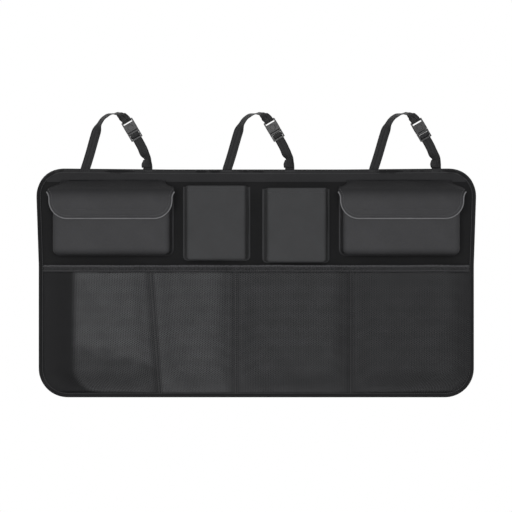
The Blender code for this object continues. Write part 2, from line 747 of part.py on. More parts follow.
def prong_outline():
    """Two spring prongs and the guide tongue between them, as one flat moulding."""
    half = BUCKLE_WIDTH / 2
    tip = half - BUCKLE_WALL - SEAM_GAP
    catch = half - PRONG_RELEASE
    tongue = TONGUE_WIDTH / 2
    arm = tip - 2 * PRONG_ARM
    right = [
        (tongue, PRONG_LENGTH - PRONG_ARM),
        (tongue, SEAM_GAP),
        (arm - PRONG_ARM / 2, SEAM_GAP),
        (arm, PRONG_CATCH),
        (arm + PRONG_ARM / 2, PRONG_LENGTH),
        (tip - PRONG_ARM / 2, PRONG_LENGTH),
        (tip - SEAM_GAP, PRONG_LENGTH - PRONG_ARM),
        (catch, PRONG_CATCH + PRONG_ARM),
        (catch, PRONG_CATCH + SEAM_GAP),
        (arm + PRONG_WAIST, PRONG_CATCH + SEAM_GAP),
        (arm + PRONG_ROOT, -PRONG_ARM),
    ]
    return [Vector(point) for point in right[::-1]] + [Vector((-x, y)) for x, y in right]


def plug_mesh(cutters):
    """Plug: prongs, a shoulder and the two-slot ladder that locks the adjustable webbing."""
    half = BUCKLE_WIDTH / 2
    slot_half = WEBBING_WIDTH / 2 + SLOT_SLACK / 2
    first = -PLUG_SHOULDER
    second = first - LADDER_SLOT - LADDER_BAR
    end = second - LADDER_SLOT - LADDER_BAR
    shoulder = block_mesh(
        "plug_shoulder",
        (-half, -PLUG_SHOULDER, -PLUG_SHOULDER_THICK / 2),
        (half, 0, PLUG_SHOULDER_THICK / 2),
        BUCKLE_EDGE,
    )
    ladder = plate_curve(
        "plug_ladder",
        [
            rectangle(-half, half, end, -FRAME_CORNER / 2, FRAME_CORNER / 3),
            rectangle(-slot_half, slot_half, first - LADDER_SLOT, first, SLOT_SLACK / 2),
            rectangle(-slot_half, slot_half, second - LADDER_SLOT, second, SLOT_SLACK / 2),
        ],
        FRAME_THICK,
    )
    prongs = plate_curve("plug_prongs", [prong_outline()], PRONG_THICK)
    changes = [
        ("UNION", curve_to_mesh(ladder, "plug_ladder")),
        ("UNION", curve_to_mesh(prongs, "plug_prongs")),
    ]
    return combined("buckle_plug", shoulder, changes, cutters)


# Key places of one strap in the XZ plane, from its left root, and the way down its buckle
DOWN = Vector((math.sin(BUCKLE_LEAN), 0, -math.cos(BUCKLE_LEAN)))
APEX = Vector((STRAP_SPAN * STRAP_APEX_SHARE, 0, STRAP_RISE))
BAR = APEX + Vector((BUCKLE_REACH, 0, -BUCKLE_DROP))
MATE = BAR + DOWN * SOCKET_LENGTH


def buckle_place(y, z):
    """A point from the buckle's own length and height, the front facing -Y."""
    return MATE - DOWN * y + Vector((0, BUCKLE_MIDDLE - z, 0))


def twist_at(share):
    """How far the long webbing has turned edge-on, as a share of a quarter turn."""
    for (low, first), (high, last) in zip(TWIST_STOPS, TWIST_STOPS[1:]):
        if share <= high:
            return first + (last - first) * smoothstep((share - low) / (high - low))
    return TWIST_STOPS[-1][1]


def walked_lengths(points):
    """The length of the line up to each of its points."""
    lengths = [0.0]
    for before, after in zip(points, points[1:]):
        lengths.append(lengths[-1] + (after - before).length)
    return lengths


def long_webbing_mesh():
    """From the panel up over the top of the loop, round the socket's bar and sewn to itself."""
    rise = interpolate_bezier(
        Vector((0, 0, 0)),
        Vector(LEG_LEAN) * STRAP_RISE * LEG_PULL_SHARE,
        APEX - Vector((APEX_PULL_SHARE * STRAP_SPAN, 0, 0)),
        APEX,
        RISE_STEPS,
    )
    start = BAR - DOWN * BAR_APPROACH
    pull = BUCKLE_REACH / 2
    fall = interpolate_bezier(APEX, APEX + Vector((pull, 0, 0)), start - DOWN * pull, start, FALL_STEPS)
    front = BUCKLE_MIDDLE - BAR_OFFSET
    centres = [Vector((0, LOAD_LINE, -STRAP_TAB)), Vector((0, LOAD_LINE, -STRAP_TAB / 3))]
    sides = [Vector((1, 0, 0))] * 2
    run = rise + fall[1:]
    walked = walked_lengths(run)
    for index, point in enumerate(run):
        share = walked[index] / walked[-1]
        depth = LOAD_LINE + (front - LOAD_LINE) * smoothstep(share / TWIST_STOPS[-2][0])
        along = (run[min(index + 1, len(run) - 1)] - run[max(index - 1, 0)]).normalized()
        flat = Vector((along.z, 0, -along.x))
        angle = -UPRIGHT * twist_at(share)
        centres.append(Vector((point.x, depth, point.z)))
        sides.append(flat * math.cos(angle) + Vector((0, 1, 0)) * math.sin(angle))
    main = list(zip(centres, sides))
    inner = SOCKET_BODY + SOCKET_SLOT - SEAM_GAP - WEBBING_THICK / 2
    top = SOCKET_LENGTH + BAR_APPROACH
    bend = SEAM_GAP + WEBBING_THICK / 2
    corners = [(top, BAR_OFFSET), (inner, BAR_OFFSET), (inner, -BAR_OFFSET), (top, -BAR_OFFSET)]
    for y, z in rounded_path(corners, (bend, bend))[1:]:
        centres.append(buckle_place(y, z))
        sides.append(Vector((DOWN.z, 0, -DOWN.x)))
    returned = 0.0
    for index in range(len(main) - 2, 0, -1):
        returned += (main[index][0] - main[index + 1][0]).length
        if returned > SEWN_RETURN:
            break
        step = 2 * BAR_OFFSET + (WEBBING_STEP - 2 * BAR_OFFSET) * smoothstep(returned / (2 * BAR_OFFSET))
        centres.append(main[index][0] + Vector((0, step, 0)))
        sides.append(main[index][1])
    return ribbon_mesh("long_webbing", centres, sides)


def ladder_path():
    """The short webbing's line through the ladder, in the buckle's own length and height."""
    end = -PLUG_SHOULDER - 2 * (LADDER_SLOT + LADDER_BAR) - WEBBING_THICK
    bar_low = -PLUG_SHOULDER - LADDER_SLOT - LADDER_BAR
    bend = SEAM_GAP + WEBBING_THICK / 2
    bar_high = bar_low + LADDER_BAR + bend
    behind, far = -BAR_OFFSET, -BAR_OFFSET - WEBBING_STEP
    corners = [
        (end, far),
        (bar_low - LADDER_SLOT, far),
        (bar_low, behind),
        (bar_high, behind),
        (bar_high, BAR_OFFSET),
        (bar_low - bend / 2, BAR_OFFSET),
        (bar_low - LADDER_SLOT + bend / 2, behind),
        (end, behind),
    ]
    return rounded_path(corners, (bend,) * 6)


def short_webbing_mesh():
    """From the panel up to the ladder, over its middle bar and down again as the folded tail."""
    ladder = ladder_path()
    exit_place = MATE - DOWN * ladder[0].x
    root = Vector((STRAP_SPAN, 0, 0))
    pull = (exit_place - root).length / 3
    leg = interpolate_bezier(
        root, root + Vector((0, 0, pull)), exit_place + DOWN * pull, exit_place, LEG_STEPS
    )
    centres = [Vector((root.x, LOAD_LINE, -STRAP_TAB)), Vector((root.x, LOAD_LINE, -STRAP_TAB / 3))]
    sides = [Vector((1, 0, 0))] * 2
    flats = []
    for index, point in enumerate(leg):
        along = leg[min(index + 1, len(leg) - 1)] - leg[max(index - 1, 0)]
        flats.append(Vector((along.z, 0, -along.x)).normalized())
    for point, flat in zip(leg[:-1], flats):
        centres.append(Vector((point.x, LOAD_LINE, point.z)))
        sides.append(flat)
    for y, z in ladder:
        centres.append(buckle_place(y, z))
        sides.append(Vector((-DOWN.z, 0, DOWN.x)))
    tail = LOAD_LINE - WEBBING_STEP
    hem = tail - TAIL_FOLD
    low = TAIL_CLEARANCE + WEBBING_THICK
    kept = [(p, f) for p, f in zip(leg[:-1], flats) if p.z > low + 2 * TAIL_FOLD]
    slips = []
    for point, flat in reversed(kept):
        slip = -TAIL_SLIP * (1 - smoothstep((point.z - low) / (3 * TAIL_HEM)))
        slips.append((point + flat * slip, flat))
        centres.append(slips[-1][0] + Vector((0, tail, 0)))
        sides.append(flat)
    turn = Vector((slips[-1][0].x, (tail + hem) / 2, low))
    for angle in range(0, 181, 45):
        spoke = math.radians(angle)
        swing = Vector((0, math.cos(spoke), -math.sin(spoke))) * (TAIL_FOLD / 2)
        centres.append(turn + swing)
        sides.append(Vector((1, 0, 0)))
    walked = 0.0
    for index in range(len(slips) - 1, 0, -1):
        walked += (slips[index][0] - slips[index - 1][0]).length
        centres.append(slips[index][0] + Vector((0, hem, 0)))
        sides.append(slips[index][1])
        if walked > TAIL_HEM:
            break
    return ribbon_mesh("short_webbing", centres, sides)


def make_straps(parts, cutters):
    webbing = ((0.020, 0.020, 0.021), 0.6)
    plastic = ((0.045, 0.045, 0.048), 0.35)
    meshes = {
        "long_webbing": (long_webbing_mesh(), webbing),
        "short_webbing": (short_webbing_mesh(), webbing),
        "buckle_socket": (socket_mesh(cutters), plastic),
        "buckle_plug": (plug_mesh(cutters), plastic),
    }
    for index, side in enumerate(("left", "centre", "right")):
        root = Vector((STRAP_ROOTS[index] * PANEL_WIDTH, 0, PANEL_TOP))
        for piece, (mesh, finish) in meshes.items():
            obj = new_object(f"strap_{side}_{piece}", mesh.copy(), finish, parts)
            obj.location = root
            if piece.startswith("buckle"):
                obj.location = root + MATE + Vector((0, BUCKLE_MIDDLE, 0))
                obj.rotation_euler = (UPRIGHT, -BUCKLE_LEAN, 0)


def make_back_tapes(parts):
    hooks = ((0.010, 0.010, 0.011), 0.95, 0.3)
    level = PANEL_BOTTOM + BACK_TAPE_RISE + BACK_TAPE_HEIGHT / 2
    depth = SEAM_GAP + TAPE_THICK / 2
    size = (BACK_TAPE_LENGTH, TAPE_THICK, BACK_TAPE_HEIGHT)
    for side, sign in (("left", -1), ("right", 1)):
        centre = (sign * BACK_TAPE_SHARE * PANEL_WIDTH, depth, level)
        make_tape(f"back_hook_tape_{side}", centre, size, hooks, parts)


def main():
    clear_scene()
    parts = new_collection("hanging_car_organizer")
    cutters = new_collection("cutters", hidden=True)
    make_panel(parts, cutters)
    for pocket in range(4):
        make_net_pocket(pocket, parts)
    make_band(parts)
    left, centre_left, centre_right, right = row_centres()
    make_flap_pocket("left", left, parts)
    make_flap_pocket("right", right, parts)
    make_centre_pocket("left", centre_left, CENTRE_POCKET_DROP, parts)
    make_centre_pocket("right", centre_right, CENTRE_POCKET_DROP + CENTRE_POCKET_STEP, parts)
    make_straps(parts, cutters)
    make_back_tapes(parts)


if __name__ == "__main__":
    main()
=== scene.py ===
"""Cloth, net, webbing and finishes of a hanging car organizer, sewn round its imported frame.

Metres, +Z up, +X to the right and the front towards -Y, as in the frame. Each soft solid of the frame is
replaced by a sewn or woven piece in the same place; the buckles stay and get a moulded finish."""

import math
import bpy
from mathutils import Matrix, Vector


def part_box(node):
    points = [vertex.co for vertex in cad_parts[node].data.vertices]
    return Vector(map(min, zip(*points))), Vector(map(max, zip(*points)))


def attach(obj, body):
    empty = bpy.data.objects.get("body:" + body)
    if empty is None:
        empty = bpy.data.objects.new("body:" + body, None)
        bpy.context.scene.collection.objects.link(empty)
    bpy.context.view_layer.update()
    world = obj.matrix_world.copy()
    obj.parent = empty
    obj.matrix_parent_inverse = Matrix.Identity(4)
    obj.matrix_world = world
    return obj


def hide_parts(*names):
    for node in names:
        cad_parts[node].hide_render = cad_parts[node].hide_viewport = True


bl_info = {
    "name": "Hanging Car Organizer",
    "version": (1, 0, 0),
    "blender": (4, 5, 0),
    "location": "3D View > Sidebar > Organizer",
    "description": "Sews the panel, pockets, nets and straps of a hanging car organizer and lights them",
    "category": "Object",
}

import bpy
import numpy as np
from bpy.props import FloatProperty, FloatVectorProperty, PointerProperty
from mathutils import Vector, noise
from mathutils.geometry import interpolate_bezier

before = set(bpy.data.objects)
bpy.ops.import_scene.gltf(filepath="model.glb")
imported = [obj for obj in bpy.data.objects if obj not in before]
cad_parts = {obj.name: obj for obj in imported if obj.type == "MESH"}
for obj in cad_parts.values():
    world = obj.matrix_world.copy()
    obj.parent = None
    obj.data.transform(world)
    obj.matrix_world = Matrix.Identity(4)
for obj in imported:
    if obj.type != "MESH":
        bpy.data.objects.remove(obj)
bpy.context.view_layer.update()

# Places that the frame gives
PANEL_LOW, PANEL_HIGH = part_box("back_panel")
PANEL_FRONT = PANEL_LOW.y
PANEL_BOTTOM = PANEL_LOW.z
PANEL_TOP = -PANEL_BOTTOM
BAND_LOW, BAND_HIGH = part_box("mesh_top_band")
NET_LOW, NET_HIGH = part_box("mesh_pocket_1")
FLAP_LOW, FLAP_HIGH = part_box("flap_pocket_left_flap")
ROW = {
    side: (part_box(f"flap_pocket_{side}_flap"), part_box(f"centre_pocket_{side}_front"))
    for side in ("left", "right")
}

SEAM_GAP = 0.0003
GUSSET_WALL = 0.0014
TAPE_WALL = 0.0011

# Heights above the panel's middle between which a tone changes; the last two bound painted shade
FACING_EDGE = (0.2058, 0.2066)
POCKET_FOOT = (0.052, 0.074)
FLAP_BEND = (0.158, 0.197)

# Row of stitches that holds the hook tape inside a flap: height above the flap's edge, half length
TAPE_ROW_HEIGHT = 0.017
TAPE_ROW_HALF = 0.088

FRONTWARD = Vector((0, -1, 0))


def length(name, text, value):
    return FloatProperty(name=name, description=text, default=value, min=0.0, unit="LENGTH")


def share(name, text, value):
    return FloatProperty(name=name, description=text, default=value, min=0.0, subtype="FACTOR")


def tone(name, text, value):
    return FloatVectorProperty(
        name=name, description=text, default=value, min=0.0, max=1.0, size=3, subtype="COLOR"
    )


class OrganizerSizes(bpy.types.PropertyGroup):
    """Sizes of the cloth, net and webbing."""

    top_half: length("Top half width", "Half of the panel's width at its top corners", 0.450)
    low_half: length("Low half width", "Half of the panel's width below the elastic hem", 0.4435)
    top_sag: length("Top sag", "Fall of the top edge between the outer straps", 0.0025)
    top_corner: length("Top corner", "Radius of the two top corners", 0.055)
    low_corner: length("Low corner", "Radius of the two bottom corners", 0.058)
    binding: length("Binding width", "Width of the edge tape on each face", 0.009)
    wrinkle: length("Panel wrinkle", "Height of the panel's soft waves", 0.0004)
    cell_width: length("Net cell width", "Step between the net's columns of cells, times two", 0.0067)
    cell_height: length("Net cell height", "Step between the cells of a column", 0.0044)
    strand: length("Net strand", "Width of the net's strands", 0.0011)
    net_thick: length("Net thickness", "Thickness of the knitted net", 0.0006)
    net_bulge: length("Net fullness", "How far the nets stand off the panel", 0.017)
    flap_thick: length("Flap thickness", "Thickness of the padded flap", 0.0024)
    piping: length("Piping", "Diameter of the cord round a flap", 0.0026)
    webbing_width: length("Webbing width", "Width of the headrest straps", 0.019)
    webbing_thick: length("Webbing thickness", "Thickness of the headrest straps", 0.0014)
    stitch: length("Stitch", "Length of one visible stitch", 0.0036)
    stitch_step: length("Stitch step", "Distance from stitch to stitch", 0.0042)
    thread: length("Thread", "Diameter of the sewing thread", 0.0009)


class OrganizerColours(bpy.types.PropertyGroup):
    """Colours of the finishes."""

    oxford: tone("Oxford cloth", "The coated cloth of the panel", (0.023, 0.023, 0.024))
    binding: tone("Binding", "The edge tape", (0.020, 0.020, 0.021))
    leather: tone("Pocket leather", "The coated leather cloth of the flap pockets", (0.086, 0.086, 0.090))
    felt: tone("Pocket cloth", "The matte cloth of the centre pockets", (0.088, 0.089, 0.092))
    # The piping's light grey is a painted reflection on what is a glossy black cord.
    piping: tone("Piping", "The cord round a flap", (0.26, 0.26, 0.27))
    # The net's two colours are a shaded and a lit tone of one yarn, mixed as painted light.
    net: tone("Net", "The knitted net where it lies flat", (0.040, 0.040, 0.042))
    net_full: tone("Full net", "The knitted net where it stands off the panel", (0.235, 0.237, 0.245))
    elastic: tone("Elastic", "The hem of the nets", (0.038, 0.038, 0.040))
    webbing: tone("Webbing", "The headrest straps", (0.026, 0.026, 0.027))
    plastic: tone("Buckle plastic", "The moulded buckles", (0.018, 0.018, 0.019))
    hook: tone("Hook tape", "The hook and loop tapes", (0.012, 0.012, 0.013))
    thread: tone("Thread", "The sewing thread", (0.120, 0.120, 0.125))


class OrganizerStage(bpy.types.PropertyGroup):
    """Camera, lamps and floor."""

    distance: length("Camera distance", "From the camera to the panel's back", 2.472)
    height: length("Camera height", "Of the camera above the panel's middle", 0.0547)
    lens: FloatProperty(name="Lens", description="Focal length in millimetres", default=85.0)
    key: FloatProperty(name="Key lamp", description="Power of the front lamp", default=42.0, unit="POWER")
    rim: FloatProperty(name="Rim lamp", description="Power of the lamp behind", default=5.0, unit="POWER")
    ambient: share("Ambient", "Strength of the light from all sides", 0.07)
    floor_drop: length("Floor drop", "How far the floor lies below the panel's middle", 1.2)
    floor: tone("Floor", "The pale studio floor", (0.82, 0.82, 0.82))


class Level:
    """An output socket of a material's tree; sums on it add Math nodes."""

    def __init__(self, surface, socket):
        self.surface = surface
        self.socket = socket

    def math(self, operation, *values):
        return self.surface.node("ShaderNodeMath", {"operation": operation}, dict(enumerate(values)))

    def __add__(self, other):
        return self.math("ADD", self, other)

    def __radd__(self, other):
        return self.math("ADD", other, self)

    def __sub__(self, other):
        return self.math("SUBTRACT", self, other)

    def __rsub__(self, other):
        return self.math("SUBTRACT", other, self)

    def __mul__(self, other):
        return self.math("MULTIPLY", self, other)

    def __rmul__(self, other):
        return self.math("MULTIPLY", other, self)

    def __truediv__(self, other):
        return self.math("DIVIDE", self, other)

    def __gt__(self, other):
        return self.math("GREATER_THAN", self, other)

    def __abs__(self):
        return self.math("ABSOLUTE", self)

    def wave(self, step):
        """A sine that repeats after the given step."""
        return self.math("SINE", self * (2 * math.pi / step))


class Surface:
    """A procedural finish, worked out from places in metres."""

    def __init__(self, name, roughness, specular=0.5, sheen=0.0, sheen_roughness=0.5):
        self.material = bpy.data.materials.new(name)
        self.material.use_nodes = True
        self.tree = self.material.node_tree
        self.shader = self.tree.nodes["Principled BSDF"]
        self.shader.inputs["Roughness"].default_value = roughness
        self.shader.inputs["Specular IOR Level"].default_value = specular
        self.shader.inputs["Sheen Weight"].default_value = sheen
        self.shader.inputs["Sheen Roughness"].default_value = sheen_roughness

    def feed(self, socket, value):
        if isinstance(value, Level):
            self.tree.links.new(value.socket, socket)
        else:
            socket.default_value = value

    def node(self, kind, settings=None, inputs=None, output=0):
        """A node with its settings first, then the values or links of its sockets."""
        made = self.tree.nodes.new(kind)
        for key, value in (settings or {}).items():
            if key == "stops":
                first, last = made.color_ramp.elements
                first.position, last.position = value
            else:
                setattr(made, key, value)
        for key, value in (inputs or {}).items():
            self.feed(made.inputs[key], value)
        return Level(self, made.outputs[output])

    def place(self):
        return self.node("ShaderNodeTexCoord", output=3)

    def split(self, vector):
        """The three parts of a vector."""
        parts = self.node("ShaderNodeSeparateXYZ", inputs={0: vector}).socket.node.outputs
        return [Level(self, part) for part in parts]

    def height(self):
        """Height above the panel's middle."""
        return self.split(self.place())[2]

    def lengths(self):
        """The cloth's UV map in metres, and its lengths across and along."""
        coordinates = self.node("ShaderNodeTexCoord", output=2)
        return coordinates, *self.split(coordinates)[:2]

    def noise(self, vector, step, detail=3.0, roughness=0.55):
        inputs = {"Vector": vector, "Scale": 1 / step, "Detail": detail, "Roughness": roughness}
        return self.node("ShaderNodeTexNoise", None, inputs)

    def cells(self, vector, step, feature="DISTANCE_TO_EDGE", randomness=1.0):
        inputs = {"Vector": vector, "Scale": 1 / step, "Randomness": randomness}
        return self.node("ShaderNodeTexVoronoi", {"feature": feature}, inputs)

    def band(self, value, low, high):
        """0 below low, 1 above high and smooth between them."""
        inputs = {"Value": value, "From Min": low, "From Max": high}
        return self.node("ShaderNodeMapRange", {"interpolation_type": "SMOOTHSTEP"}, inputs)

    def mix(self, factor, first, second):
        """A colour between two colours."""
        return self.node("ShaderNodeMix", {"data_type": "RGBA"}, {0: factor, 6: first, 7: second}, 2)

    def weave(self, across, along, step):
        """Height of a plain weave: warp and weft pass over each other like a chequer."""
        warp = across.math("SINE", across * (math.pi / step))
        weft = along.math("SINE", along * (math.pi / step))
        over = warp * weft > 0.0
        return over * warp * warp + (1 - over) * weft * weft

    def colour(self, value):
        self.feed(self.shader.inputs["Base Color"], value)

    def roughness(self, value):
        self.feed(self.shader.inputs["Roughness"], value)

    def bump(self, height, distance, strength=1.0):
        inputs = {"Height": height, "Distance": distance, "Strength": strength}
        self.feed(self.shader.inputs["Normal"], self.node("ShaderNodeBump", None, inputs))


def shade(colour, factor):
    return (*[min(part * factor, 1.0) for part in colour], 1.0)


def oxford_finish(name, colour):
    """Coated Oxford: a coarse plain weave with uneven, slightly dusty tone."""
    cloth = Surface(name, 0.72, specular=0.12, sheen=0.02)
    coordinates, across, along = cloth.lengths()
    weave = cloth.weave(across, along, 0.0009)
    cloud = cloth.noise(coordinates, 0.09, 4.0)
    slub = cloth.noise(coordinates, 0.004, 2.0)
    facing = cloth.band(cloth.height(), *FACING_EDGE)
    tone = cloud * 0.5 + weave * 0.25 + slub * 0.25
    plain = cloth.mix(tone, shade(colour, 0.7), shade(colour, 1.35))
    cloth.colour(cloth.mix(facing, plain, cloth.mix(tone, shade(colour, 1.75), shade(colour, 3.1))))
    cloth.roughness(0.82 - 0.14 * weave)
    cloth.bump(weave + slub * 0.8, 0.00022)
    return cloth.material


def tape_finish(name, colour):
    """Grosgrain: fine ribs across the tape."""
    tape = Surface(name, 0.6, specular=0.14, sheen=0.02)
    coordinates, _, along = tape.lengths()
    ribs = along.wave(0.0011) * 0.5 + 0.5
    cloud = tape.noise(coordinates, 0.03, 3.0)
    tape.colour(tape.mix(cloud * 0.6 + ribs * 0.4, shade(colour, 0.7), shade(colour, 1.4)))
    tape.roughness(0.75 - 0.15 * ribs)
    tape.bump(ribs + cloud * 0.6, 0.00018)
    return tape.material


def leather_finish(name, colour):
    """Coated leather cloth: small pebbles, a few creases, a satin face, painted shade at pocket foot and
    flap bend.
    """
    leather = Surface(name, 0.5, specular=0.08)
    coordinates = leather.lengths()[0]
    pebble = leather.band(leather.cells(coordinates, 0.0017), 0.02, 0.38)
    fine = leather.noise(coordinates, 0.0012, 2.0)
    crease = leather.band(leather.noise(coordinates, 0.02, 5.0, 0.7), 0.52, 0.6)
    cloud = leather.noise(coordinates, 0.07, 3.0)
    tone = cloud * 0.7 + pebble * 0.3
    # Painted shade: the leather is darker below the pockets' rolled foot and above the flaps' bend.
    painted_shade = leather.band(leather.height(), *POCKET_FOOT) * (1 - leather.band(leather.height(), *FLAP_BEND))
    face = leather.mix(tone, shade(colour, 0.75), shade(colour, 1.25))
    leather.colour(leather.mix(painted_shade, leather.mix(tone, shade(colour, 0.38), shade(colour, 0.62)), face))
    leather.roughness(0.56 + 0.16 * fine - 0.08 * pebble + 0.06 * cloud)
    leather.bump(pebble + fine * 0.35 + crease * 0.8, 0.00016)
    return leather.material


def felt_finish(name, colour):
    """Matte cloth with a faint twill and a short nap."""
    cloth = Surface(name, 0.85, specular=0.08, sheen=0.03)
    coordinates, across, along = cloth.lengths()
    twill = (across + along).wave(0.0014) * 0.5 + 0.5
    nap = cloth.noise(coordinates, 0.0011, 3.0, 0.7)
    cloud = cloth.noise(coordinates, 0.05, 4.0)
    tone = cloud * 0.45 + nap * 0.35 + twill * 0.2
    cloth.colour(cloth.mix(tone, shade(colour, 0.72), shade(colour, 1.3)))
    cloth.roughness(0.78 + 0.15 * nap)
    cloth.bump(twill * 0.5 + nap, 0.00022)
    return cloth.material


def net_finish(name, colour, painted_lit_colour):
    """Knitted yarn with the loops' fine ribs, mixed from a shaded to a lit tone by painted light."""
    net = Surface(name, 0.55, specular=0.15, sheen=0.03)
    coordinates, across, along = net.lengths()
    fullness = net.node("ShaderNodeAttribute", {"attribute_name": "fullness"}, output=2)
    loops = (across * 1.4 + along).wave(0.0009) * 0.5 + 0.5
    cloud = net.noise(coordinates, 0.045, 4.0)
    patch = net.band(cloud, 0.32, 0.68)
    light = fullness * (0.8 + 0.2 * patch)
    base = net.mix(loops, shade(colour, 0.75), shade(colour, 1.25))
    net.colour(net.mix(light, base, net.mix(loops, shade(painted_lit_colour, 0.75), shade(painted_lit_colour, 1.2))))
    net.roughness(0.62 - 0.12 * loops)
    net.bump(loops, 0.00012)
    return net.material


def elastic_finish(name, colour):
    """Ribbed elastic: cords along it, pinched by fine gathers, with a painted highlight along its top edge.
    """
    band = Surface(name, 0.6, specular=0.14, sheen=0.02)
    coordinates, across, along = band.lengths()
    cords = across.wave(0.0016) * 0.5 + 0.5
    gathers = along.wave(0.0023) * 0.5 + 0.5
    cloud = band.noise(coordinates, 0.02, 3.0)
    speckle = band.band(band.noise(coordinates, 0.0028, 2.0), 0.42, 0.58)
    # Painted highlight: a light line along the hem's top edge, broken by the speckle.
    rim = band.band(across, 0.0034, 0.0046) * (0.45 + 0.55 * speckle)
    tone = cords * 0.3 + cloud * 0.2 + speckle * 0.5
    cloth = band.mix(tone, shade(colour, 0.45), shade(colour, 1.9))
    band.colour(band.mix(rim, cloth, shade(colour, 3.2)))
    band.roughness(0.7 - 0.14 * cords)
    band.bump(cords + gathers * 0.5, 0.00024)
    return band.material


def webbing_finish(name, colour):
    """Nylon webbing: a herringbone of short ribs, flat lighter runs and tight dark edges."""
    webbing = Surface(name, 0.5, specular=0.2, sheen=0.02)
    coordinates, across, along = webbing.lengths()
    slant = abs((across / 0.0035).math("PINGPONG", across / 0.0035, 1.0)) * 0.0014
    ribs = (along + slant).wave(0.0017) * 0.5 + 0.5
    edge = webbing.band(abs(across), 0.0064, 0.0082)
    stripe = across.wave(0.0064) * 0.5 + 0.5
    fuzz = webbing.noise(coordinates, 0.0015, 3.0)
    light = (1 - edge) * (0.4 * ribs + 0.35 * stripe) + 0.25 * fuzz
    webbing.colour(webbing.mix(light, shade(colour, 0.5), shade(colour, 1.9)))
    webbing.roughness(0.66 - 0.2 * ribs)
    webbing.bump(ribs * (1 - edge) + fuzz * 0.4 + edge * 0.5, 0.00028)
    return webbing.material


def plastic_finish(name, colour):
    """Moulded plastic: a fine spark-eroded face, a little polished and scuffed."""
    plastic = Surface(name, 0.36, specular=0.35)
    place = plastic.place()
    grain = plastic.noise(place, 0.0005, 2.0)
    scuff = plastic.band(plastic.noise(place, 0.006, 5.0, 0.7), 0.5, 0.62)
    cloud = plastic.noise(place, 0.02, 2.0)
    plastic.colour(plastic.mix(cloud * 0.6 + scuff * 0.4, shade(colour, 0.8), shade(colour, 1.35)))
    plastic.roughness(0.3 + 0.14 * grain + 0.12 * scuff)
    plastic.bump(grain + scuff * 0.3, 0.00006)
    return plastic.material


def hook_finish(name, colour):
    """Hook and loop tape: dense little tufts between plain selvedges."""
    tape = Surface(name, 0.9, specular=0.1, sheen=0.1)
    coordinates = tape.lengths()[0]
    tufts = tape.cells(coordinates, 0.0012, "F1")
    fuzz = tape.noise(coordinates, 0.003, 4.0)
    tape.colour(tape.mix(tufts * 0.6 + fuzz * 0.4, shade(colour, 2.2), shade(colour, 0.5)))
    tape.roughness(0.8 + 0.15 * fuzz)
    tape.bump(fuzz - tufts, 0.0005)
    return tape.material


def cord_finish(name, colour):
    """Piping and thread: twisted plies with a light wear."""
    cord = Surface(name, 0.55, specular=0.25, sheen=0.02)
    place = cord.place()
    x, _, z = cord.split(place)
    plies = (x + z * 0.7).wave(0.0009) * 0.5 + 0.5
    wear = cord.noise(place, 0.012, 4.0)
    cord.colour(cord.mix(plies * 0.35 + wear * 0.65, shade(colour, 0.65), shade(colour, 1.35)))
    cord.roughness(0.65 - 0.15 * plies)
    cord.bump(plies + wear * 0.3, 0.00008)
    return cord.material


MAKERS = {
    "oxford": oxford_finish,
    "binding": tape_finish,
    "leather": leather_finish,
    "felt": felt_finish,
    "piping": cord_finish,
    "elastic": elastic_finish,
    "webbing": webbing_finish,
    "plastic": plastic_finish,
    "hook": hook_finish,
    "thread": cord_finish,
}


def finish(name):
    """The material of a finish, made the first time that it is asked for."""
    found = bpy.data.materials.get(f"organizer_{name}")
    if found:
        return found
    colours = bpy.context.scene.organizer_colours
    if name == "net":
        return net_finish("organizer_net", tuple(colours.net), tuple(colours.net_full))
    return MAKERS[name](f"organizer_{name}", tuple(getattr(colours, name)))


def smoothstep(value):
    value = min(max(value, 0.0), 1.0)
    return value * value * (3 - 2 * value)


def hump(value, width):
    """A smooth bump of height 1 about 0."""
    return math.exp(-((value / width) ** 2))


def ripple(x, z, step, seed=0.0):
    """Soft noise between -1 and 1 that changes over about the given step."""
    return noise.noise(Vector((x / step + seed, z / step - seed, seed)))


def arc_between(start, end, steps):
    """Vectors that turn evenly from start to end, both measured from the arc's centre."""
    angle = start.angle(end)
    for step in range(steps + 1):
        part = step / steps
        weights = math.sin((1 - part) * angle), math.sin(part * angle)
        yield (start * weights[0] + end * weights[1]) / math.sin(angle)


def corner_arc(corner, before, after, radius, steps):
    """The points that round one corner of a line of points."""
    back = (before - corner).normalized()
    ahead = (after - corner).normalized()
    half = back.angle(ahead) / 2
    reach = radius / math.tan(half)
    centre = corner + (back + ahead).normalized() * (radius / math.sin(half))
    ends = corner + back * reach - centre, corner + ahead * reach - centre
    return [centre + spoke for spoke in arc_between(*ends, steps)]


def rounded_path(corners, radii, steps=6):
    """An open line through the corners, each inner one rounded by its own radius."""
    corners = [Vector(corner) for corner in corners]
    points = [corners[0]]
    for before, corner, after, radius in zip(corners, corners[1:], corners[2:], radii):
        points += corner_arc(corner, before, after, radius, steps)
    return points + [corners[-1]]


def rounded_outline(corners, steps=16):
    """A closed line; each corner is (x, y, radius), and a radius of 0 stays a point."""
    points = []
    for index, (x, y, radius) in enumerate(corners):
        corner = Vector((x, y))
        if radius == 0:
            points.append(corner)
            continue
        before = Vector(corners[index - 1][:2])
        after = Vector(corners[(index + 1) % len(corners)][:2])
        points += corner_arc(corner, before, after, radius, steps)
    return points


def walk(points, spacing, closed=False):
    """Evenly spaced (place, direction) along a line of points."""
    line = list(points) + ([points[0]] if closed else [])
    runs = [(b - a).length for a, b in zip(line, line[1:])]
    total = sum(runs)
    count = max(round(total / spacing), 1)
    marks = [total * step / count for step in range(count if closed else count + 1)]
    spots = []
    index, passed = 0, 0.0
    for mark in marks:
        while index < len(runs) - 1 and passed + runs[index] < mark:
            passed += runs[index]
            index += 1
        start, end = line[index], line[index + 1]
        part = (mark - passed) / max(runs[index], 1e-9)
        spots.append((start.lerp(end, part), (end - start).normalized()))
    return spots


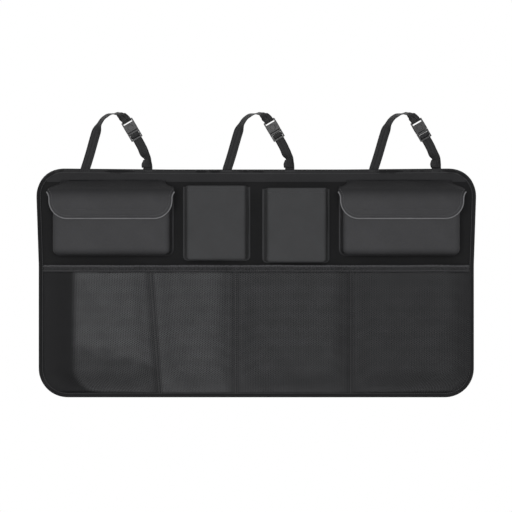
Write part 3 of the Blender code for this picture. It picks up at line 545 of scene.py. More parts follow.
def woven_mesh(name, points, ring=False, attributes=None):
    """A grid of quads through rows of points; its UV map holds lengths across and along in metres.

    With ring set, the last row joins the first."""
    points = np.asarray(points, dtype=float)
    rows, columns = points.shape[:2]
    wrapped = np.concatenate([points, points[:1]]) if ring else points
    index = np.arange(rows * columns).reshape(rows, columns)
    index = np.concatenate([index, index[:1]]) if ring else index
    corners = (index[:-1, :-1], index[:-1, 1:], index[1:, 1:], index[1:, :-1])
    faces = np.stack([corner.ravel() for corner in corners], axis=1)
    across = np.zeros(wrapped.shape[:2])
    across[:, 1:] = np.cumsum(np.linalg.norm(np.diff(wrapped, axis=1), axis=2), axis=1)
    across -= across[:, -1:] / 2
    along = np.zeros(wrapped.shape[:2])
    along[1:] = np.cumsum(np.linalg.norm(np.diff(wrapped, axis=0), axis=2), axis=0)
    flat = np.stack([across, along], axis=2)
    loops = np.stack([flat[:-1, :-1], flat[:-1, 1:], flat[1:, 1:], flat[1:, :-1]], axis=2)
    mesh = bpy.data.meshes.new(name)
    mesh.from_pydata(points.reshape(-1, 3).tolist(), [], faces.tolist())
    uv_map = mesh.uv_layers.new(name="sewn")
    uv_map.data.foreach_set("uv", loops.reshape(-1).astype(np.float32))
    mesh.shade_smooth()
    return mesh


def add_piece(name, data, finish_name, replaces=(), wall=None):
    """A piece that rides on the object, in its finish; wall is (thickness, offset) of a sheet."""
    piece = bpy.data.objects.new(name, data)
    bpy.context.scene.collection.objects.link(piece)
    data.materials.append(finish(finish_name))
    if wall:
        modifier = piece.modifiers.new("Wall", "SOLIDIFY")
        modifier.thickness, modifier.offset = wall
    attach(piece, "root")
    if replaces:
        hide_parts(*replaces)
    return piece


def thread_mesh(name, spots, stitch, diameter):
    """Short rounded stitches at (place, direction, outward) spots."""
    sides, rings = 5, ((-1.0, 0.3), (-0.8, 0.85), (0.0, 1.0), (0.8, 0.85), (1.0, 0.3))
    template = []
    for reach, thick in rings:
        sink = 0.6 * reach * reach
        for side in range(sides):
            angle = 2 * math.pi * side / sides
            across, up = thick * math.cos(angle), thick * math.sin(angle) - sink
            template.append((reach / 2, across / 2, up / 2))
    template = np.array(template) * (stitch, diameter, diameter)
    faces = []
    for ring in range(len(rings) - 1):
        for side in range(sides):
            following = (side + 1) % sides
            first, second = ring * sides, (ring + 1) * sides
            faces.append([first + side, first + following, second + following, second + side])
    caps = [list(range(sides))[::-1], [(len(rings) - 1) * sides + side for side in range(sides)]]
    vertices, polygons = [], []
    for place, direction, outward in spots:
        across = direction.cross(outward).normalized()
        axes = np.array([direction.normalized(), across, outward.normalized()])
        base = len(vertices)
        vertices.extend((template @ axes + np.array(place)).tolist())
        polygons.extend([[base + corner for corner in face] for face in faces + caps])
    mesh = bpy.data.meshes.new(name)
    mesh.from_pydata(vertices, [], polygons)
    mesh.shade_smooth()
    return mesh


def sew(name, runs):
    """Thread pieces along runs of (points, outward, closed)."""
    sizes = bpy.context.scene.organizer_sizes
    spots = []
    for points, outward, closed in runs:
        for place, direction in walk(points, sizes.stitch_step, closed):
            spots.append((place + outward * sizes.thread * 0.2, direction, outward))
    mesh = thread_mesh(name, spots, sizes.stitch, sizes.thread)
    return add_piece(name, mesh, "thread")


def side_line(z):
    """Half width of the panel at a height, before its corners are rounded."""
    sizes = bpy.context.scene.organizer_sizes
    rise = (z - BAND_HIGH.z) / (PANEL_TOP - BAND_HIGH.z)
    return sizes.low_half + (sizes.top_half - sizes.low_half) * max(rise, 0.0)


def panel_half(z):
    """Half width of the panel at a height, with its corners rounded."""
    sizes = bpy.context.scene.organizer_sizes
    side = side_line(z)
    for level, radius in ((PANEL_TOP, sizes.top_corner), (PANEL_BOTTOM, sizes.low_corner)):
        depth = radius - abs(level - z)
        if depth > 0:
            side -= radius - math.sqrt(max(radius**2 - depth**2, 0.0))
    return side


def panel_outline(offset=0.0):
    """The panel's edge, counter-clockwise seen from the front, in X and Z."""
    sizes = bpy.context.scene.organizer_sizes
    right = [
        (sizes.low_half + offset, PANEL_BOTTOM - offset, sizes.low_corner + offset),
        (sizes.low_half + offset, BAND_HIGH.z, 0.0),
        (sizes.top_half + offset, PANEL_TOP + offset, sizes.top_corner + offset),
        (0.4 * sizes.top_half, PANEL_TOP - sizes.top_sag + offset, 0.0),
    ]
    left = [(-x, z, radius) for x, z, radius in reversed(right)]
    return rounded_outline(right + left)


def panel_relief(x, z):
    """How far the panel's cloth stands out of its plane."""
    sizes = bpy.context.scene.organizer_sizes
    waves = ripple(x, z, 0.11) + 0.5 * ripple(x, z, 0.035, 3.0)
    facing = 0.0012 * smoothstep((z - 0.2065) / 0.0010)
    return sizes.wrinkle * waves + facing


class ORGANIZER_OT_panel(bpy.types.Operator):
    """Cut the stiff back panel and give it soft waves"""

    bl_idname = "organizer.panel"
    bl_label = "Back panel"

    def execute(self, context):
        sizes = context.scene.organizer_sizes
        levels = []
        for start, end, radius, sign in (
            (PANEL_BOTTOM, PANEL_BOTTOM + sizes.low_corner, sizes.low_corner, 1),
            (PANEL_TOP - sizes.top_corner, PANEL_TOP, sizes.top_corner, -1),
        ):
            turns = [math.pi / 2 * step / 10 for step in range(11)]
            if sign > 0:
                levels += [start + radius * (1 - math.cos(turn)) for turn in turns]
                middle = np.linspace(end, PANEL_TOP - sizes.top_corner, 66)[1:-1]
                levels += list(middle)
            else:
                levels += [start + radius * math.sin(turn) for turn in turns]
        columns = np.linspace(-1, 1, 150)
        sag_from = 0.4 * sizes.top_half
        sag_to = sizes.top_half - sizes.top_corner
        middle_y = (PANEL_FRONT + PANEL_HIGH.y) / 2
        rows = []
        for level in levels:
            row = []
            for column in columns:
                x = column * panel_half(level)
                sag = 1 - smoothstep((abs(x) - sag_from) / (sag_to - sag_from))
                z = level - sizes.top_sag * sag * smoothstep((level - 0.1) / (PANEL_TOP - 0.1))
                row.append((x, middle_y - panel_relief(x, z), z))
            rows.append(row)
        thick = PANEL_HIGH.y - PANEL_FRONT
        mesh = woven_mesh("panel_cloth", rows)
        panel = add_piece("panel_cloth", mesh, "oxford", ["back_panel"], (thick, 0))
        return {"FINISHED"}


class ORGANIZER_OT_binding(bpy.types.Operator):
    """Fold the edge tape round the panel and stitch it"""

    bl_idname = "organizer.binding"
    bl_label = "Edge binding"

    def execute(self, context):
        sizes = context.scene.organizer_sizes
        outline = walk(panel_outline(), 0.005, closed=True)
        turns = []
        for index, (_, direction) in enumerate(outline):
            turns.append(outline[index - 1][1].angle(direction))
        front, back = PANEL_FRONT - 0.0006, PANEL_HIGH.y + 0.0006
        width = sizes.binding
        section = (
            (-width, front + 0.00015, 0.6),
            (-0.92 * width, front - 0.0001, 1.0),
            (-0.78 * width, front + 0.00002, 0.3),
            (-0.5 * width, front - 0.00025, 1.0),
            (-0.2 * width, front - 0.0002, 0.8),
            (0.0002, front + 0.0001, 0.3),
            (0.0008, front + 0.0009, 0.0),
            (0.0008, back - 0.0009, 0.0),
            (0.0002, back - 0.0001, 0.3),
            (-0.3 * width, back + 0.0002, 0.8),
            (-0.78 * width, back - 0.00002, 0.3),
            (-width, back - 0.00015, 0.6),
        )
        rows, walked = [], 0.0
        for index, (place, direction) in enumerate(outline):
            outward = Vector((direction.y, -direction.x))
            corner = smoothstep(sum(turns[index - 2 : index + 3] or turns[-2:] + turns[:3]) / 0.25)
            pucker = math.sin(2 * math.pi * walked / 0.0085) * (0.25 + 0.75 * corner) * 0.00035
            pucker += 0.0003 * ripple(walked, 0.0, 0.03)
            row = []
            for reach, y, loose in section:
                spot = place + outward * (reach + 0.3 * pucker * loose)
                side = -1 if y < (front + back) / 2 else 1
                row.append((spot.x, y + side * abs(pucker) * loose, spot.y))
            rows.append(row)
            walked += 0.005
        mesh = woven_mesh("edge_tape", rows, ring=True)
        tape = add_piece("edge_tape", mesh, "binding", ["edge_binding"], (0.0006, 0))
        soft = tape.modifiers.new("Soft", "SUBSURF")
        soft.levels = soft.render_levels = 1
        line = [Vector((p.x, 0, p.y)) for p in panel_outline(-0.82 * width)]
        runs = []
        for y, outward in ((front - 0.0006, FRONTWARD), (back + 0.0006, -FRONTWARD)):
            runs.append(([p + Vector((0, y, 0)) for p in line], outward, True))
        sew("edge_stitching", runs)
        return {"FINISHED"}


# Net pockets, from the left: seams that divide them at the top and at the bottom
SEAMS_TOP = (-0.2140, -0.0405, 0.1950)
SEAMS_LOW = (-0.1960, -0.0405, 0.1950)
NET_FLANGE = 0.004
NET_SHOULDER = 0.044
NET_LEFT_SHOULDER = 0.068
NET_TOE = 0.050
NET_MOUTH = 0.8
# Painted light for each net pocket from the left, less lit towards the right.
NET_PAINTED_LIGHT = (1.0, 0.84, 0.50, 0.38)


def seam_place(index, z):
    """X of a net seam at a height; the outermost two follow the binding."""
    sizes = bpy.context.scene.organizer_sizes
    if index in (0, 4):
        radius = sizes.low_corner - sizes.binding
        side = abs(NET_LOW.x)
        drop = max(NET_LOW.z + radius - z, 0.0)
        place = side - radius + math.sqrt(max(radius**2 - drop**2, 0.0))
        return place if index else -place
    part = (NET_HIGH.z - z) / (NET_HIGH.z - NET_LOW.z)
    return SEAMS_TOP[index - 1] + (SEAMS_LOW[index - 1] - SEAMS_TOP[index - 1]) * part


def net_bulge(pocket, x, z):
    """How far the net stands off the panel at a place in one pocket."""
    sizes = bpy.context.scene.organizer_sizes
    shoulder = NET_LEFT_SHOULDER if pocket == 0 else NET_SHOULDER
    left = (x - seam_place(pocket, z) - NET_FLANGE) / shoulder
    right = (seam_place(pocket + 1, z) - x - NET_FLANGE) / NET_SHOULDER
    across = smoothstep(left) * smoothstep(right)
    toe = smoothstep((z - NET_LOW.z - NET_FLANGE) / NET_TOE)
    rise = (z - NET_LOW.z) / (NET_HIGH.z - NET_LOW.z)
    mouth = 1 - (1 - NET_MOUTH) * smoothstep(rise * 2 - 1)
    return sizes.net_bulge * across * toe * mouth


def net_height(pocket, x, z):
    """The net's distance from the panel, with its soft folds and the pleat beside each seam."""
    bulge = net_bulge(pocket, x, z)
    full = bulge / bpy.context.scene.organizer_sizes.net_bulge
    folds = 0.0022 * ripple(x, 0.35 * z, 0.045, pocket + 1.0) + 0.0012 * ripple(x, z, 0.03, pocket + 5.0)
    beside = seam_place(pocket + 1, z) - x
    pleat = 0.0008 * hump(beside - 0.014, 0.006) - 0.0006 * hump(beside - 0.0215, 0.006)
    near = smoothstep((z - NET_LOW.z) / 0.03) if pocket < 3 else 0.0
    return max(bulge + full * folds + pleat * near * smoothstep(beside / 0.01), 0.0)


def net_painted_light(pocket, x, z):
    """Painted light on the yarn: painted shade along the left margin, in the folds and where it lies
    double.
    """
    left, right = x - seam_place(pocket, z), seam_place(pocket + 1, z) - x
    tone = smoothstep((left - 0.056) / 0.018) if pocket == 0 else smoothstep(left / 0.006)
    tone *= 1 - 0.6 * hump(right - 0.006, 0.009)
    # Painted shade: the first pocket is darker below a slanting line across its lower left.
    if pocket == 0:
        slack = z + 0.127 + 0.24 * (x + 0.37) + 0.012 * ripple(x, z, 0.03)
        tone *= 0.55 + 0.45 * smoothstep((slack + 0.015) / 0.03)
    else:
        tone *= 1 - 0.25 * hump(right - 0.021, 0.004)
    return tone * NET_PAINTED_LIGHT[pocket]


def two_sided(faces, count):
    """Front faces, back faces on points numbered from count on, and walls along every open edge."""
    open_edges = {}
    for face in faces:
        for start, end in zip(face, face[1:] + face[:1]):
            if not open_edges.pop((end, start), False):
                open_edges[start, end] = True
    front = [face[::-1] for face in faces]
    back = [[corner + count for corner in face] for face in faces]
    return front + back + [[start, end, end + count, start + count] for start, end in open_edges]


def net_mesh(pocket):
    """A honeycomb net: columns of six-sided cells, each with its hole inset, over the pocket's form."""
    sizes = bpy.context.scene.organizer_sizes
    width = seam_place(pocket + 1, 0.0) - seam_place(pocket, 0.0)
    height = NET_HIGH.z - NET_LOW.z
    columns = round(width / (sizes.cell_width / 2))
    halves = 2 * round(height / sizes.cell_height)
    rise = height / halves
    step = width / columns
    lean = 0.42 * step

    def spot(column, half):
        inner = 0 < column < columns
        swing = lean * (1 if (column + half) % 2 else -1) if inner else 0.0
        return (column * step + swing) / width, NET_LOW.z + half * rise

    cells = []
    for column in range(columns):
        for half in range(column % 2, halves - 1, 2):
            ring = [(column, half + k) for k in range(3)] + [(column + 1, half + k) for k in (2, 1, 0)]
            cells.append(ring)
        if column % 2:
            for half in (0, halves - 1):
                short = [(column, half), (column, half + 1)]
                cells.append(short + [(column + 1, half + 1), (column + 1, half)])
    keys, vertices = {}, []
    ring_faces = []

    def vertex(part, z):
        left, right = seam_place(pocket, z), seam_place(pocket + 1, z)
        x = left + (right - left) * part
        y = PANEL_FRONT - SEAM_GAP - sizes.net_thick / 2 - net_height(pocket, x, z)
        vertices.append((x, y, z))
        return len(vertices) - 1

    for cell in cells:
        places = [spot(*corner) for corner in cell]
        outer = []
        for corner, place in zip(cell, places):
            if corner not in keys:
                keys[corner] = vertex(*place)
            outer.append(keys[corner])
        middle = np.mean(places, axis=0)
        shrink = 1 - sizes.strand / (0.95 * sizes.cell_height)
        inner = [vertex(*(middle + (np.array(place) - middle) * shrink)) for place in places]
        for index in range(len(cell)):
            following = (index + 1) % len(cell)
            ring_faces.append([outer[index], outer[following], inner[following], inner[index]])
    middle, half = np.array(vertices), (0.0, sizes.net_thick / 2, 0.0)
    places = np.concatenate([middle - half, middle + half])
    faces = np.array(two_sided(ring_faces, len(middle)))
    mesh = bpy.data.meshes.new(f"net_{pocket + 1}")
    mesh.from_pydata(places.tolist(), [], faces.tolist())
    uv_map = mesh.uv_layers.new(name="sewn")
    uv_map.data.foreach_set("uv", places[faces.reshape(-1)][:, (0, 2)].reshape(-1).astype(np.float32))
    # Painted light and shade on the net, kept as a point attribute.
    fullness = mesh.attributes.new("fullness", "FLOAT", "POINT")
    tones = [net_painted_light(pocket, x, z) for x, y, z in places.tolist()]
    fullness.data.foreach_set("value", np.array(tones, dtype=np.float32))
    mesh.shade_smooth()
    return mesh


class ORGANIZER_OT_nets(bpy.types.Operator):
    """Knit the four net pockets and sew them down"""

    bl_idname = "organizer.nets"
    bl_label = "Net pockets"

    def execute(self, context):
        for pocket in range(4):
            node = f"mesh_pocket_{pocket + 1}"
            piece = add_piece(f"net_{pocket + 1}", net_mesh(pocket), "net", [node])
        runs = []
        for seam in (1, 2, 3):
            for side in (-0.0022, 0.0022):
                line = []
                for step in range(41):
                    z = NET_LOW.z + (NET_HIGH.z - NET_LOW.z) * step / 40
                    line.append(Vector((seam_place(seam, z) + side, PANEL_FRONT - 0.0012, z)))
                runs.append((line, FRONTWARD, False))
        sew("net_stitching", runs)
        return {"FINISHED"}


class ORGANIZER_OT_band(bpy.types.Operator):
    """Run the elastic hem over the mouths of the nets"""

    bl_idname = "organizer.band"
    bl_label = "Elastic hem"

    def execute(self, context):
        level, height = (BAND_HIGH.z + BAND_LOW.z) / 2, BAND_HIGH.z - BAND_LOW.z
        profile = (
            (-0.50, 0.0004),
            (-0.44, 0.0012),
            (-0.30, 0.0008),
            (-0.10, 0.0011),
            (0.12, 0.0010),
            (0.26, 0.0006),
            (0.36, 0.0014),
            (0.46, 0.0019),
            (0.50, 0.0012),
        )
        count = 420
        rows, lines = [], ([], [])
        for step in range(count + 1):
            x = BAND_LOW.x + (BAND_HIGH.x - BAND_LOW.x) * step / count
            pocket = sum(x > seam_place(seam, NET_HIGH.z) for seam in (1, 2, 3))
            bulge = net_bulge(pocket, x, NET_HIGH.z)
            gather = 0.00035 * math.sin(2 * math.pi * x / 0.0068) + 0.0004 * ripple(x, 0.0, 0.02, 2.0)
            base = PANEL_FRONT - SEAM_GAP - 0.0008 - bulge
            droop = 0.0009 * ripple(x, 0.4, 0.08)
            hem = [(x, base - out - gather, level + share * height + droop) for share, out in profile]
            rows.append(hem)
            for line, share in zip(lines, (-0.3, 0.26)):
                line.append(Vector((x, base - 0.0016 - gather, level + share * height + droop)))
        mesh = woven_mesh("elastic_hem", rows)
        band = add_piece("elastic_hem", mesh, "elastic", ["mesh_top_band"], (0.0014, 0))
        sew("hem_stitching", [(line, FRONTWARD, False) for line in lines])
        return {"FINISHED"}


# Boxed pockets
FRONT_WALL = 0.0022
ROLL_DEPTH = 1.2


def front_mesh(name, node, roll, crown, hem):
    """A boxed front: one sheet whose sides and floor roll back, with the corners gathered."""
    low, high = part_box(node)
    centre = (low.x + high.x) / 2
    half, face = (high.x - low.x) / 2, low.y + crown
    inner_half, inner_low = half - roll, low.z + roll
    reach = roll * (math.pi / 2 + ROLL_DEPTH - 1)
    bottom, corner = inner_low - reach, reach
    turns = [math.pi / 2 * step / 8 for step in range(9)]
    levels = [bottom + corner * (1 - math.cos(turn)) for turn in turns]
    levels += list(np.linspace(inner_low, high.z, 44)[1:])
    seed = 7.0 * centre
    rows = []
    for level in levels:
        lift = max(inner_low - level, 0.0)
        wide = inner_half + math.sqrt(max(corner**2 - lift**2, 0.0))
        row = []
        for part in np.linspace(-1, 1, 72):
            spread = part * wide
            side = max(abs(spread) - inner_half, 0.0)
            away = math.hypot(side, lift)
            turn = min(away / roll, math.pi / 2)
            past = max(away - roll * math.pi / 2, 0.0)
            out = roll * math.sin(turn) / max(away, 1e-9)
            x = math.copysign(min(abs(spread), inner_half) + side * out, spread)
            z = max(level, inner_low) - lift * out
            y = face + roll * (1 - math.cos(turn)) + past
            rise = (z - low.z) / (0.75 * (high.z - low.z))
            flat = 1 - smoothstep(away / reach)
            puff = crown * max(1 - (x / half) ** 2, 0.0) * math.sin(math.pi * min(max(rise, 0), 1))
            waves = 0.0009 * ripple(x, z, 0.05, seed) + 0.0004 * ripple(x, z, 0.016, seed)
            pinch = 0.0006 * smoothstep(min(side, lift) / (0.3 * roll))
            gather = math.sin(14 * math.atan2(side, lift + 1e-6)) * pinch
            fold = 0.0007 * hump(high.z - z - hem, 0.0012) if hem else 0.0
            row.append((centre + x, y - puff * flat - waves * flat + gather + fold, z))
        rows.append(row)
    return woven_mesh(name, rows)


def gusset_mesh(name, node, front_node, roll, flare, rise):
    """Sides and floor from the front's rolled rim to the panel, bowed in and turned out at the seam."""
    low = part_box(node)[0]
    front_low, front_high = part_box(front_node)
    centre = (front_low.x + front_high.x) / 2
    half = (front_high.x - front_low.x) / 2
    start, end = low.y, PANEL_FRONT - SEAM_GAP
    path = rounded_path(
        [(-half, front_high.z), (-half, front_low.z), (half, front_low.z), (half, front_high.z)],
        (roll, roll),
        steps=8,
    )
    spots = walk(path, 0.004)
    depths = [0.0, 0.08, 0.2, 0.35, 0.5, 0.65, 0.8, 0.9, 0.96, 1.0, 1.0]
    lips = [0.0] * 9 + [0.0006, 0.0022]
    rows = []
    for place, direction in spots:
        outward = Vector((direction.y, -direction.x))
        row = []
        for depth, lip in zip(depths, lips):
            bow = -0.0028 * math.sin(math.pi * depth) * (0.6 + 0.8 * ripple(place.x, place.y, 0.04, 2.0))
            crease = 0.0008 * ripple(depth * 0.05, place.x + place.y, 0.018, 4.0)
            crease *= math.sin(math.pi * depth)
            spread = place.x * (1 + flare * depth / half)
            spot = Vector((spread, place.y)) + outward * (bow + crease + lip)
            top = rise * depth * smoothstep((place.y - front_high.z + 0.03) / 0.03)
            y = start + (end - start) * depth - (0.0012 if lip else 0.0)
            row.append((centre + spot.x, y, spot.y + top))
        rows.append(row)
    return woven_mesh(name, rows)


# A flap's levels, read from the frame
FLAP_SEAM = 0.208
FLAP_FOLD = 0.184
FLAP_CORNER = 0.035
FLAP_FOLD_RADIUS = 0.017
FLAP_EAR = 0.0055
FLAP_SEAM_HALF = 0.107


def flap_half(drop):
    """Half width of the flap's face at a distance below the fold's bend, ears included."""
    low, high = FLAP_LOW, FLAP_HIGH
    half = (high.x - low.x) / 2 - 0.0045
    face = FLAP_FOLD - low.z
    lift = FLAP_CORNER - (face - drop)
    if lift > 0:
        half -= FLAP_CORNER - math.sqrt(max(FLAP_CORNER**2 - lift**2, 0.0))
    return half + FLAP_EAR * max(1 - drop / 0.016, 0.0) ** 2.4


def flap_line():
    """The flap's middle line in Y and Z, from its lower edge over the fold to the panel."""
    sizes = bpy.context.scene.organizer_sizes
    face = FLAP_LOW.y + sizes.flap_thick / 2
    seam = PANEL_FRONT - SEAM_GAP - sizes.flap_thick / 2
    return rounded_path(
        [(face, FLAP_LOW.z), (face, FLAP_FOLD), (seam, FLAP_SEAM), (seam, FLAP_SEAM + 0.0025)],
        (FLAP_FOLD_RADIUS, 0.002),
        steps=10,
    )


def flap_spots():
    """(half width, y, z, length from the lower edge) of the flap's cross lines."""
    line = flap_line()
    spots = []
    face_top = line[1].y
    for turn in [math.pi / 2 * step / 14 for step in range(14)]:
        z = FLAP_LOW.z + FLAP_CORNER * (1 - math.cos(turn))
        spots.append((flap_half(FLAP_FOLD - z), line[0].x, z, z - FLAP_LOW.z))
    for z in np.linspace(FLAP_LOW.z + FLAP_CORNER, face_top, 12)[:-1]:
        spots.append((flap_half(FLAP_FOLD - z), line[0].x, z, z - FLAP_LOW.z))
    walked = face_top - FLAP_LOW.z
    bend, previous = line[1:-13], line[1]
    for point in bend:
        walked += (point - previous).length
        spots.append((flap_half(max(FLAP_FOLD - point.y, 0.0)), point.x, point.y, walked))
        previous = point
    ear = spots[-1][0]
    slope_end = line[-12]
    for step in range(1, 9):
        point = bend[-1].lerp(slope_end, step / 9)
        narrow = ear + (FLAP_SEAM_HALF - ear) * smoothstep(step / 7)
        spots.append((narrow, point.x, point.y, walked + (point - bend[-1]).length))
    walked += (slope_end - bend[-1]).length
    previous = slope_end
    for point in line[-12:]:
        walked += (point - previous).length
        spots.append((FLAP_SEAM_HALF, point.x, point.y, walked))
        previous = point
    return spots


def flap_mesh(name, centre):
    """A padded flap: puffed inside its stitched edge, soft over the fold."""
    rows = []
    spots = flap_spots()
    for index, (half, y, z, walked) in enumerate(spots):
        before, after = spots[max(index - 1, 0)], spots[min(index + 1, len(spots) - 1)]
        along = Vector((after[1] - before[1], after[2] - before[2])).normalized()
        outward = Vector((-along.y, along.x))
        row = []
        for part in np.linspace(-1, 1, 96):
            x = part * half
            corner_x, corner_z = abs(x) - (half - FLAP_CORNER), FLAP_CORNER - walked
            if corner_x > 0 and corner_z > 0:
                inside = FLAP_CORNER - math.hypot(corner_x, corner_z)
            else:
                inside = min(half - abs(x), walked)
            puff = 0.0016 * smoothstep((inside - 0.004) / 0.016)
            pucker = 0.00018 * math.sin(2 * math.pi * (x + walked) / 0.0042)
            groove = (0.0013 + 2 * pucker) * hump(inside - 0.0042, 0.0012)
            waves = 0.0008 * ripple(x, walked, 0.045, 9.0 * centre)
            waves += 0.0004 * ripple(x, walked, 0.014, centre)
            out = puff - groove + waves * smoothstep(inside / 0.02)
            row.append((centre + x, y + outward.x * out, z + outward.y * out))
        rows.append(row)
    return woven_mesh(name, rows)


def flap_edge(centre, inset, lift):
    """The flap's free edge from the left ear round to the right ear, moved inwards."""
    edge = []
    face = flap_line()[0].x
    for half, _, z, walked in flap_spots():
        if walked > FLAP_FOLD - FLAP_LOW.z + 0.001:
            break
        edge.append(Vector((half, z)))
    right = [Vector((-p.x, p.y)) for p in edge[::-1]] + edge
    moved = []
    for index, point in enumerate(right):
        before, after = right[max(index - 1, 0)], right[min(index + 1, len(right) - 1)]
        along = (after - before).normalized()
        spot = point + Vector((along.y, -along.x)) * -inset
        moved.append(Vector((centre + spot.x, face - lift, spot.y)))
    return moved


def tube_curve(name, points, diameter):
    curve = bpy.data.curves.new(name, "CURVE")
    curve.dimensions = "3D"
    curve.bevel_depth = diameter / 2
    curve.bevel_resolution = 3
    curve.use_fill_caps = True
    spline = curve.splines.new("POLY")
    spline.points.add(len(points) - 1)
    for point, place in zip(spline.points, points):
        point.co = (*place, 1.0)
    return curve


def strip_mesh(name, node, cells):
    """A flat tape over a frame node's face, a touch wavy along its length."""
    low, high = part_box(node)
    middle = (low.y + high.y) / 2
    rows = []
    for x in np.linspace(low.x, high.x, cells):
        wave = 0.0003 * ripple(x, low.z, 0.03)
        rows.append([(x, middle + wave, z) for z in np.linspace(low.z, high.z, 8)])
    return woven_mesh(name, rows)


def add_tape(node, cells):
    """Sew on a strip of hook or loop tape."""
    add_piece(f"{node}_strip", strip_mesh(node, node, cells), "hook", [node], (TAPE_WALL, 0))


def boxed_pocket(name, finish, slot, fill, front_form, gusset_form):
    """Sew a pocket's padded front and the gusset that folds round its sides and floor."""
    front_node, gusset_node = f"{name}_front", f"{name}_gusset"
    mesh = front_mesh(f"{name}_face", front_node, *front_form)
    front = add_piece(f"{name}_face", mesh, finish, [front_node], (FRONT_WALL, -1))
    mesh = gusset_mesh(f"{name}_sides", gusset_node, front_node, *gusset_form)
    gusset = add_piece(f"{name}_sides", mesh, finish, [gusset_node], (GUSSET_WALL, -1))


class ORGANIZER_OT_flap_pockets(bpy.types.Operator):
    """Sew the two flap pockets with their piping and closure tapes"""

    bl_idname = "organizer.flap_pockets"
    bl_label = "Flap pockets"

    def execute(self, context):
        sizes = context.scene.organizer_sizes
        for side in ("left", "right"):
            name = f"flap_pocket_{side}"
            low, high = ROW[side][0]
            centre = (low.x + high.x) / 2
            forms = (0.011, 0.002, 0.0), (0.011, 0.003, 0.017)
            boxed_pocket(name, "leather", "pocket_leather", 0.35, *forms)
            mesh = flap_mesh(f"{name}_cover", centre)
            flap = add_piece(
                f"{name}_cover", mesh, "leather", [f"{name}_flap"], (sizes.flap_thick, 0)
            )
            edge = flap_edge(centre, -sizes.piping / 2, 0.0)
            cord = tube_curve(f"{name}_cord", edge, sizes.piping)
            add_piece(f"{name}_cord", cord, "piping", [f"{name}_piping"])
            line = flap_edge(centre, 0.0045, sizes.flap_thick / 2 - 0.0002)
            face = flap_line()[0].x - sizes.flap_thick / 2 - 0.0018
            level = FLAP_LOW.z + TAPE_ROW_HEIGHT
            tape_line = [Vector((centre + x, face, level)) for x in (-TAPE_ROW_HALF, TAPE_ROW_HALF)]
            runs = [(line, FRONTWARD, False), (tape_line, FRONTWARD, False)]
            sew(f"{name}_stitching", runs)
            for kind in ("hook", "loop"):
                node = f"{name}_{kind}_tape"
                add_tape(node, 24)
        return {"FINISHED"}


class ORGANIZER_OT_centre_pockets(bpy.types.Operator):
    """Sew the two open pockets between the flap pockets"""

    bl_idname = "organizer.centre_pockets"
    bl_label = "Centre pockets"

    def execute(self, context):
        for side in ("left", "right"):
            name = f"centre_pocket_{side}"
            low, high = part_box(f"{name}_front")
            forms = (0.007, 0.002, 0.009), (0.007, 0.0068, 0.0)
            boxed_pocket(name, "felt", "pocket_cloth", 0.3, *forms)
            line = [Vector((x, low.y + 0.0016, high.z - 0.009)) for x in (low.x + 0.004, high.x - 0.004)]
            sew(f"{name}_stitching", [(line, FRONTWARD, False)])
        return {"FINISHED"}


# Headrest straps, from each one's left root on the panel's top edge
STRAP_SPAN = 0.128
STRAP_RISE = 0.1125
STRAP_ROOTS = (-0.35, -0.0595, 0.2405)
STRAP_TAB = 0.028
# Stops of the long webbing's twist: share of its run up to the bar, share of a quarter turn
TWIST_STOPS = (
    (0.0, 0.0),
    (0.45, 0.0),
    (0.60, 0.62),
    (0.72, 0.70),
    (0.81, 0.89),
    (0.865, 0.74),
    (0.91, 0.50),
    (0.955, 0.0),
    (1.0, 0.0),
)
BUCKLE_LEAN = math.radians(30.3)
BUCKLE_DROP = 0.0142
BUCKLE_REACH = 0.0190
SOCKET_BODY = 0.0185
SOCKET_SLOT = 0.0045
SOCKET_BAR = 0.0027
PLUG_SHOULDER = 0.0048
LADDER_SLOT = 0.0036
LADDER_BAR = 0.0029
SEWN_RETURN = 0.0065
TAIL_LOW = 0.0044
TAIL_HEM = 0.014
TAIL_FOLD = 0.0030
TAIL_SLIP = 0.0024
WRAP_SLACK = 0.0014
# Where the short webbing turns partly edge-on above the panel, and how far
TURN_LEVEL = 0.021
TURN_REACH = 0.011
TURN_ANGLE = math.radians(52)
WEBBING_THICK = 0.0014
WEBBING_WIDTH = 0.019
LOAD_LINE = 0.0019
WEBBING_STEP = WEBBING_THICK + SEAM_GAP
BAR_OFFSET = 0.0022
BUCKLE_MIDDLE = LOAD_LINE - BAR_OFFSET - WEBBING_STEP
SOCKET_LENGTH = SOCKET_BODY + SOCKET_SLOT + SOCKET_BAR
DOWN = Vector((math.sin(BUCKLE_LEAN), 0, -math.cos(BUCKLE_LEAN)))
APEX = Vector((0.515 * STRAP_SPAN, 0, STRAP_RISE))
BAR = APEX + Vector((BUCKLE_REACH, 0, -BUCKLE_DROP))
MATE = BAR + DOWN * SOCKET_LENGTH


def buckle_place(y, z):
    """A place from the buckle's own length and height, the front facing -Y."""
    return MATE - DOWN * y + Vector((0, BUCKLE_MIDDLE - z, 0))


def twist_at(part):
    """How far the long webbing has turned edge-on, as a share of a quarter turn."""
    for (low, first), (high, last) in zip(TWIST_STOPS, TWIST_STOPS[1:]):
        if part <= high:
            return first + (last - first) * smoothstep((part - low) / (high - low))
    return TWIST_STOPS[-1][1]


